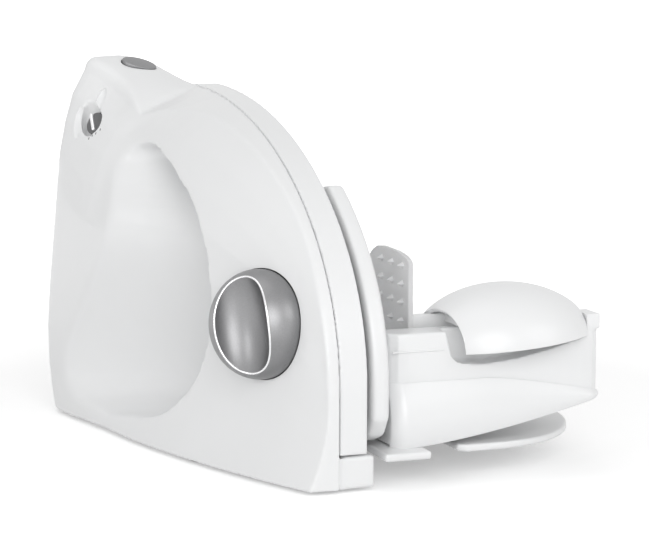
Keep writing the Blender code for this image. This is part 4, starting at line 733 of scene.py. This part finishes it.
KNOB_SKIRT = 0.0034
BEAD_RADIUS, BEAD_SINK = 0.00062, 0.0003
BEAD_CUTS = 35
BASE_RADIUS, BASE_LOW, BASE_HIGH = 0.0316, -0.0090, -0.0040
SPINDLE_HOLE, SPINDLE_LOW = 0.0060, -0.02


class SLICER_OT_knob(bpy.types.Operator):
    """Model the lacquered knob with its scooped bowl and rounded rim"""

    bl_idname = "slicer.knob"
    bl_label = "Knob"

    def dome(self, radius, height, skirt):
        """Half an egg on a short skirt, closed below."""
        bpy.ops.mesh.primitive_uv_sphere_add(segments=128, ring_count=96, radius=1.0)
        dome = named("knob_lacquered")
        dome.scale = (radius, radius, height)
        bpy.ops.object.transform_apply(location=True, rotation=True, scale=True)
        bpy.ops.object.mode_set(mode="EDIT")
        bpy.ops.mesh.select_all(action="SELECT")
        bpy.ops.mesh.bisect(plane_co=(0.0, 0.0, 0.0), plane_no=(0.0, 0.0, 1.0), clear_inner=True)
        bpy.ops.mesh.extrude_region_move(TRANSFORM_OT_translate={"value": (0.0, 0.0, -skirt)})
        bpy.ops.mesh.edge_face_add()
        bpy.ops.mesh.select_all(action="SELECT")
        bpy.ops.mesh.normals_make_consistent(inside=False)
        bpy.ops.object.mode_set(mode="OBJECT")
        return dome

    def rim(self, form, scoop):
        """Bead along the edge where the bowl meets the dome; its rounded form catches the light,
        and its light metal paints the rim's highlight.
        """
        half_length, half_width, depth = form.scoop_half
        level = form.scoop_centre[2]

        def dome_height(share, angle):
            spot = scoop @ Vector((half_length * share * math.cos(angle),
                                   half_width * share * math.sin(angle), 0.0))
            out = (spot.x ** 2 + spot.y ** 2) / form.knob_radius ** 2
            return spot, form.knob_height * math.sqrt(max(1.0 - out, 0.0))

        bpy.ops.curve.primitive_bezier_circle_add(radius=1.0)
        bead = named("knob_rim_bead")
        bpy.ops.object.mode_set(mode="EDIT")
        bpy.ops.curve.spline_type_set(type="POLY")
        bpy.ops.curve.subdivide(number_cuts=BEAD_CUTS)
        bpy.ops.object.mode_set(mode="OBJECT")
        count = len(bead.data.splines[0].points)
        for k, point in enumerate(bead.data.splines[0].points):
            angle = 2 * math.pi * k / count
            low, high = 0.4, 1.0
            for _ in range(30):
                share = (low + high) / 2
                height = dome_height(share, angle)[1]
                inside = share ** 2 + ((height - level) / depth) ** 2 < 1.0
                low, high = (share, high) if inside else (low, share)
            spot, height = dome_height(share, angle)
            point.co = (spot.x, spot.y, height - BEAD_SINK, 1.0)
        bead.data.bevel_depth = BEAD_RADIUS
        bead.data.bevel_resolution = 3
        bpy.ops.object.convert(target="MESH")
        return bead

    def execute(self, context):
        form = context.scene.slicer_form
        place = joint_frame("knob_turn")
        knob = self.dome(form.knob_radius, form.knob_height, KNOB_SKIRT)
        scoop = Matrix.Translation(form.scoop_centre) @ Matrix.Rotation(form.scoop_lean, 4, "Z")
        cut_by(knob, ball("bowl", scoop, form.scoop_half))
        applied(knob, "REMESH", mode="VOXEL", voxel_size=form.knob_grid, use_smooth_shade=True)
        applied(knob, "SMOOTH", factor=0.5, iterations=form.knob_passes)
        settled(knob, place)
        bpy.ops.object.shade_smooth()
        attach(knob, "knob")
        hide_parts("thickness_knob")
        dress(knob, "silver_lacquer")
        # Dark ring in the well under the knob: its dark colour paints the shade of the gap round
        # the knob's foot
        base = column("knob_base_ring", place, BASE_RADIUS, BASE_RADIUS, BASE_LOW, BASE_HIGH)
        cut_by(base, column("spindle_hole", place, SPINDLE_HOLE, SPINDLE_HOLE, SPINDLE_LOW, 0.0))
        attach(base, "housing")
        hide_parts("knob_base")
        dress(base, "dark_plastic")
        # The bead's light metal, far lighter than the knob's lacquer, paints the highlight along
        # the rim
        bead = settled(self.rim(form, scoop), place)
        bpy.ops.object.shade_smooth()
        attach(bead, "knob")
        dress(bead, "bright_rim")
        return {"FINISHED"}


CAP_HALF, CAP_LOW, CAP_HIGH, CAP_EDGE = (0.0115, 0.00725), -0.0075, -0.0014, 0.0007
DISC_RADIUS, DISC_LOW, DISC_HIGH, DISC_EDGE = 0.0072, -0.0078, -0.0016, 0.0008
FIN_LOW, FIN_HIGH, FIN_EDGE = (-0.0011, -0.0064, -0.0020), (0.0011, 0.0064, 0.0012), 0.0007
FIN_TURN = math.radians(37)


class SLICER_OT_controls(bpy.types.Operator):
    """Model the oval button and the small round selector with its fin"""

    bl_idname = "slicer.controls"
    bl_label = "Button and selector"

    def settle(self, piece, place, body, node, slot, material):
        """Put a piece in its place, on its body and in its finish."""
        settled(piece, place)
        smooth_under(piece, 30)
        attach(piece, body)
        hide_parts(node)
        dress(piece, material)

    def execute(self, context):
        cap = column("button_cap", Matrix(), *CAP_HALF, CAP_LOW, CAP_HIGH)
        applied(cap, "BEVEL", width=CAP_EDGE, segments=4, limit_method="ANGLE")
        self.settle(cap, button_frame(), body_of("main_button"), "main_button",
                    "silver_lacquer", "silver_lacquer")
        disc = column("selector_disc", Matrix(), DISC_RADIUS, DISC_RADIUS, DISC_LOW, DISC_HIGH)
        applied(disc, "BEVEL", width=DISC_EDGE, segments=4, limit_method="ANGLE")
        fin = block("selector_fin", FIN_LOW, FIN_HIGH, FIN_EDGE)
        body = body_of("speed_selector")
        place = joint_frame("selector_turn")
        self.settle(disc, place, body, "speed_selector", "dark_plastic", "dark_lacquer")
        self.settle(fin, place @ Matrix.Rotation(FIN_TURN, 4, "Z"), body,
                    "speed_selector", "silver_lacquer", "bright_rim")
        return {"FINISHED"}


# Places in the drawing frame
GUARD_HALF, GUARD_CENTRE = (0.0560, 0.0420, 0.0370), (0.1340, 0.0345, 0.0700)
GUARD_CUTS = (((0.1768, 0.0, 0.0), (1.0, 0.0, 0.0), True),
              ((0.0970, 0.0035, 0.0), (-1.0, -0.20, 0.0), False),
              ((0.0970, 0.0, 0.0718), (0.075, 0.0, -1.0), False))
GUARD_WALL, GUARD_EDGE = 0.0022, 0.0005
WALL_SLOT = ((0.15, 0.0234, 0.05), (0.20, 0.0326, 0.0846))
ARM_FRONT, ARM_LOW, ARM_HIGH = 0.0385, 0.0580, (0.1030, 0.0425, 0.0900)
RIB = ((0.0990, 0.0130, 0.0852), (0.1030, 0.0560, 0.0895))
RIB_EDGE = 0.0006


class SLICER_OT_finger_guard(bpy.types.Operator):
    """Model the domed finger guard with its open side, its arm and its rib"""

    bl_idname = "slicer.finger_guard"
    bl_label = "Finger guard"

    def trim(self, place, normal, fill):
        """Cut the active piece at a plane and drop what lies beyond it."""
        bpy.ops.object.mode_set(mode="EDIT")
        bpy.ops.mesh.select_all(action="SELECT")
        bpy.ops.mesh.bisect(plane_co=place, plane_no=normal, clear_outer=True, use_fill=fill)
        bpy.ops.object.mode_set(mode="OBJECT")

    def execute(self, context):
        bpy.ops.mesh.primitive_uv_sphere_add(segments=128, ring_count=80, radius=1.0)
        guard = named("finger_guard_moulding")
        guard.scale = GUARD_HALF
        settled(guard, Matrix.Translation(at(*GUARD_CENTRE)))
        for spot, normal, fill in GUARD_CUTS:
            self.trim(at(*spot), normal, fill)
        applied(guard, "SOLIDIFY", thickness=GUARD_WALL, offset=-1.0)
        cut_by(guard, block("wall_slot", *(at(*corner) for corner in WALL_SLOT)))
        applied(guard, "BEVEL", width=GUARD_EDGE, segments=2, limit_method="ANGLE",
                angle_limit=math.radians(45))
        near = at(0.0, ARM_FRONT, ARM_LOW)
        near.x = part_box("pusher_hood")[0][0]
        arm = block("guard_arm", near, at(*ARM_HIGH), RIB_EDGE)
        rib = block("guard_rib", *(at(*corner) for corner in RIB), RIB_EDGE)
        for part in (arm, rib):
            applied(guard, "BOOLEAN", operation="UNION", solver="EXACT", object=part)
            bpy.data.objects.remove(part)
        smooth_under(guard, 40)
        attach(guard, body_of("pusher_hood"))
        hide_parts("pusher_hood")
        dress(guard, "white_gloss")
        return {"FINISHED"}


FENCE_GRID = 0.0008
FRONT_NORMAL, FRONT_SLACK = 0.99, 0.0002
STEM_RADIUS, STEM_Y, STEM_ENDS = 0.0032, 0.050, (-0.0460, -0.0191)
STEM_HEIGHTS = {"low": 0.050, "high": 0.130}


class SLICER_OT_fence(bpy.types.Operator):
    """Model the pillow-edged fence on its two guide stems"""

    bl_idname = "slicer.fence"
    bl_label = "Fence"

    def execute(self, context):
        form = context.scene.slicer_form
        fence = copy_of_node("fence", "fence_moulding")
        face_x = max(vertex.co.x for vertex in fence.data.vertices)
        bpy.ops.object.mode_set(mode="EDIT")
        bpy.ops.mesh.select_mode(type="FACE")
        bpy.ops.mesh.select_all(action="DESELECT")
        bpy.ops.object.mode_set(mode="OBJECT")
        for face in fence.data.polygons:
            face.select = (face.normal.x < FRONT_NORMAL
                           or face.center.x < face_x - FRONT_SLACK)
        bpy.ops.object.mode_set(mode="EDIT")
        bpy.ops.mesh.delete(type="FACE")
        bpy.ops.object.mode_set(mode="OBJECT")
        settled(fence, Matrix.Translation((-form.fence_bead, 0.0, 0.0)))
        applied(fence, "SOLIDIFY", thickness=form.fence_depth - 2 * form.fence_bead, offset=-1.0)
        applied(fence, "REMESH", mode="VOXEL", voxel_size=FENCE_GRID, use_smooth_shade=True)
        applied(fence, "DISPLACE", strength=form.fence_bead, mid_level=0.0)
        applied(fence, "SMOOTH", factor=0.5, iterations=form.fence_passes)
        alone(fence)
        bpy.ops.object.shade_smooth()
        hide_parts("fence")
        stems = [column(f"fence_stem_{label}",
                        frame_on(at(0.0, STEM_Y, z), Vector((-1.0, 0.0, 0.0))),
                        STEM_RADIUS, STEM_RADIUS, *STEM_ENDS)
                 for label, z in STEM_HEIGHTS.items()]
        for piece in (fence, *stems):
            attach(piece, body_of("fence"))
            dress(piece, "white_gloss")
        return {"FINISHED"}


# The belly in the drawing frame: its ends, the curves of its low and upper edges, its front and
# bulge, and how far its ends turn back into the carriage
BELLY_LEFT, BELLY_RIGHT = 0.0550, 0.1862
BELLY_LOW, BELLY_RISE, BELLY_RISE_POWER = 0.0190, 0.0218, 1.6
RIDGE, RIDGE_DROP, RIDGE_FROM, RIDGE_POWER = 0.0557, 0.0125, 0.45, 1.3
BELLY_FRONT, BELLY_BULGE, BULGE_LOSS, BULGE_SPAN = 0.0114, 0.0074, 0.75, 0.8
TURN_IN, TURN_REACH = 0.006, 0.008
BELLY_WALL, BELLY_EDGE = 0.0016, 0.0006
RIM_LINE = ((0.0556, 0.0112, 0.0733), (0.0872, 0.0130, 0.0743))
RIM_LINE_EDGE = 0.0004


class SLICER_OT_belly(bpy.types.Operator):
    """Model the smooth belly panel and the rim line on the carriage's front"""

    bl_idname = "slicer.belly"
    bl_label = "Carriage belly"

    def execute(self, context):
        bpy.ops.mesh.primitive_grid_add(x_subdivisions=120, y_subdivisions=32, size=1.0)
        belly = named("carriage_belly")
        for vertex in belly.data.vertices:
            along, down = vertex.co.x + 0.5, vertex.co.y + 0.5
            x = BELLY_LEFT + (BELLY_RIGHT - BELLY_LEFT) * along
            low = BELLY_LOW + BELLY_RISE * along ** BELLY_RISE_POWER
            share = max(along - RIDGE_FROM, 0.0) / (1 - RIDGE_FROM)
            ridge = RIDGE - RIDGE_DROP * share ** RIDGE_POWER
            bulge = BELLY_BULGE * (1 - BULGE_LOSS * along)
            y = BELLY_FRONT - bulge * math.sin(math.pi * min(down * BULGE_SPAN, 1.0))
            nearest_end = min(x - BELLY_LEFT, BELLY_RIGHT - x)
            y += TURN_IN * max(1 - nearest_end / TURN_REACH, 0.0) ** 2
            vertex.co = at(x, y, ridge + (low - ridge) * down)
        applied(belly, "SOLIDIFY", thickness=BELLY_WALL, offset=0.0)
        applied(belly, "BEVEL", width=BELLY_EDGE, segments=3, limit_method="ANGLE",
                angle_limit=math.radians(50))
        line = block("carriage_rim_line", *(at(*corner) for corner in RIM_LINE), RIM_LINE_EDGE)
        for piece in (belly, line):
            smooth_under(piece, 40)
            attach(piece, body_of("carriage"))
            dress(piece, "white_gloss")
        return {"FINISHED"}


# The other white nodes: new piece, grid size and smoothing passes
WHITE_MOULDINGS = {
    "blade_housing": ("blade_side_moulding", 0.0010, 2),
    "carriage": ("carriage_moulding", 0.0009, 3),
    "base_plate": ("base_moulding", 0.0011, 1),
}


class SLICER_OT_mouldings(bpy.types.Operator):
    """Mould the other white parts with small edge radii"""

    bl_idname = "slicer.mouldings"
    bl_label = "White mouldings"

    def execute(self, context):
        for node, (name, voxel, passes) in WHITE_MOULDINGS.items():
            piece = moulded(node, name, voxel, passes, body_of(node))
            dress(piece, "white_gloss")
        return {"FINISHED"}


# Stage

# Lamps: place and target in the drawing frame, and size
LAMPS = {
    "front": ((-0.35, -1.70, 0.85), (0.0, 0.12, 0.09), 1.3),
    "left": ((-1.50, -0.75, 0.75), (0.0, 0.12, 0.09), 0.4),
    "right": ((0.95, -0.95, 0.75), (0.08, 0.10, 0.06), 0.8),
    "top": ((-0.30, 0.15, 1.35), (0.0, 0.12, 0.05), 1.1),
}
# Camera: place in the drawing frame; yaw, pitch and roll in degrees
CAMERA_SPOT = (-0.5073, -1.3809, 0.3495)
CAMERA_ANGLES = (20.553, 8.762, 0.149)
SENSOR_WIDTH = 36.0
FLOOR_SIZE = 12.0
FLOOR_TINT = (0.90, 0.93)
# The floor's own light, and the distances between which it grows
FLOOR_LIFT, LIFT_FROM, LIFT_TO = (0.32, 1.0), 0.30, 1.10


class SLICER_OT_studio(bpy.types.Operator):
    """Set the pale floor, the soft lamps and the camera"""

    bl_idname = "slicer.studio"
    bl_label = "Studio"

    def lamp(self, name, spot, target, size, power):
        """Round soft lamp that points at a target."""
        bpy.ops.object.light_add(type="AREA", location=spot)
        lamp = named(name)
        lamp.data.shape = "DISK"
        lamp.data.size = size
        lamp.data.energy = power
        lamp.rotation_euler = (target - spot).to_track_quat("-Z", "Y").to_euler()

    def seen(self, tree):
        """One for the rays by which the camera, metal and glass see the background."""
        path = tree.nodes.new("ShaderNodeLightPath")
        direct = sums(tree, "MAXIMUM", path.outputs["Is Camera Ray"],
                      path.outputs["Is Glossy Ray"])
        return sums(tree, "MAXIMUM", direct, path.outputs["Is Transmission Ray"])

    def floor(self):
        """Pale floor that turns white away from the slicer."""
        bpy.ops.mesh.primitive_plane_add(size=FLOOR_SIZE, location=(0.0, 0.0, 0.0))
        floor = named("studio_floor")
        material, tree, shader = new_material("pale_floor")
        grain = noise(tree, tree.nodes.new("ShaderNodeTexCoord").outputs["Object"], 5.0)
        tint = tree.nodes.new("ShaderNodeCombineColor")
        for socket in tint.inputs[:3]:
            tree.links.new(scaled(tree, grain, *FLOOR_TINT), socket)
        tree.links.new(tint.outputs[0], shader.inputs["Base Color"])
        shader.inputs["Roughness"].default_value = 0.9
        shader.inputs["Specular IOR Level"].default_value = 0.1
        shader.inputs["Emission Color"].default_value = (1.0, 1.0, 1.0, 1.0)
        away = tree.nodes.new("ShaderNodeVectorMath")
        away.operation = "LENGTH"
        tree.links.new(tree.nodes.new("ShaderNodeTexCoord").outputs["Object"], away.inputs[0])
        amount = scaled(tree, away.outputs["Value"], *FLOOR_LIFT)
        amount.node.inputs["From Min"].default_value = LIFT_FROM
        amount.node.inputs["From Max"].default_value = LIFT_TO
        tree.links.new(sums(tree, "MULTIPLY", self.seen(tree), amount),
                       shader.inputs["Emission Strength"])
        floor.data.materials.append(material)

    def world(self, room):
        """Even light from all round, seen as white."""
        world = bpy.data.worlds.new("studio_room")
        bpy.context.scene.world = world
        world.use_nodes = True
        tree = world.node_tree
        even = tree.nodes["Background"]
        even.inputs["Strength"].default_value = room
        white = tree.nodes.new("ShaderNodeBackground")
        white.inputs["Strength"].default_value = 1.0
        for node in (even, white):
            node.inputs["Color"].default_value = (1.0, 1.0, 1.0, 1.0)
        mix = tree.nodes.new("ShaderNodeMixShader")
        tree.links.new(self.seen(tree), mix.inputs[0])
        tree.links.new(even.outputs[0], mix.inputs[1])
        tree.links.new(white.outputs[0], mix.inputs[2])
        tree.links.new(mix.outputs[0], tree.nodes["World Output"].inputs["Surface"])

    def camera(self, lens):
        """Camera at the photograph's viewing angle."""
        bpy.ops.object.camera_add(location=at(*CAMERA_SPOT))
        camera = named("photo_camera")
        camera.data.lens = lens
        camera.data.sensor_width = SENSOR_WIDTH
        camera.data.clip_start = 0.01
        yaw, pitch, roll = (math.radians(angle) for angle in CAMERA_ANGLES)
        turn = (Matrix.Rotation(-yaw, 3, "Z") @ Matrix.Rotation(math.pi / 2 - pitch, 3, "X")
                @ Matrix.Rotation(roll, 3, "Z"))
        camera.rotation_euler = turn.to_euler()
        bpy.context.scene.camera = camera

    def execute(self, context):
        studio = context.scene.slicer_studio
        bpy.ops.object.select_all(action="DESELECT")
        self.floor()
        for side, (spot, target, size) in LAMPS.items():
            self.lamp(f"{side}_lamp", at(*spot), at(*target), size, getattr(studio, side))
        self.world(studio.room)
        self.camera(studio.lens)
        context.scene.view_settings.view_transform = "Standard"
        return {"FINISHED"}


class SLICER_PT_looks(bpy.types.Panel):
    """Buttons and values for the slicer's looks"""

    bl_idname = "SLICER_PT_looks"
    bl_label = "Food slicer"
    bl_space_type = "VIEW_3D"
    bl_region_type = "UI"
    bl_category = "Slicer"

    def draw(self, context):
        layout = self.layout
        for group in ("slicer_finish", "slicer_form", "slicer_studio"):
            rows = layout.column(align=True)
            holder = getattr(context.scene, group)
            for name in holder.bl_rna.properties.keys():
                if name not in ("rna_type", "name"):
                    rows.prop(holder, name)
        for operator in OPERATORS:
            layout.operator(operator.bl_idname)


GROUP_CLASSES = {
    "slicer_finish": SlicerFinish,
    "slicer_form": SlicerForm,
    "slicer_studio": SlicerStudio,
}
OPERATORS = (SLICER_OT_studio, SLICER_OT_finishes, SLICER_OT_motor_side, SLICER_OT_mouldings,
             SLICER_OT_fence, SLICER_OT_belly, SLICER_OT_finger_guard, SLICER_OT_knob,
             SLICER_OT_controls)


def register():
    for name, group in GROUP_CLASSES.items():
        bpy.utils.register_class(group)
        setattr(bpy.types.Scene, name, PointerProperty(type=group))
    for item in (*OPERATORS, SLICER_PT_looks):
        bpy.utils.register_class(item)


def unregister():
    for item in reversed((*OPERATORS, SLICER_PT_looks)):
        bpy.utils.unregister_class(item)
    for name, group in GROUP_CLASSES.items():
        delattr(bpy.types.Scene, name)
        bpy.utils.unregister_class(group)


def main():
    """Dress the frame."""
    register()
    bpy.ops.slicer.studio()
    bpy.ops.slicer.finishes()
    bpy.ops.slicer.motor_side()
    bpy.ops.slicer.mouldings()
    bpy.ops.slicer.fence()
    bpy.ops.slicer.belly()
    bpy.ops.slicer.finger_guard()
    bpy.ops.slicer.knob()
    bpy.ops.slicer.controls()


if __name__ == "__main__":
    main()
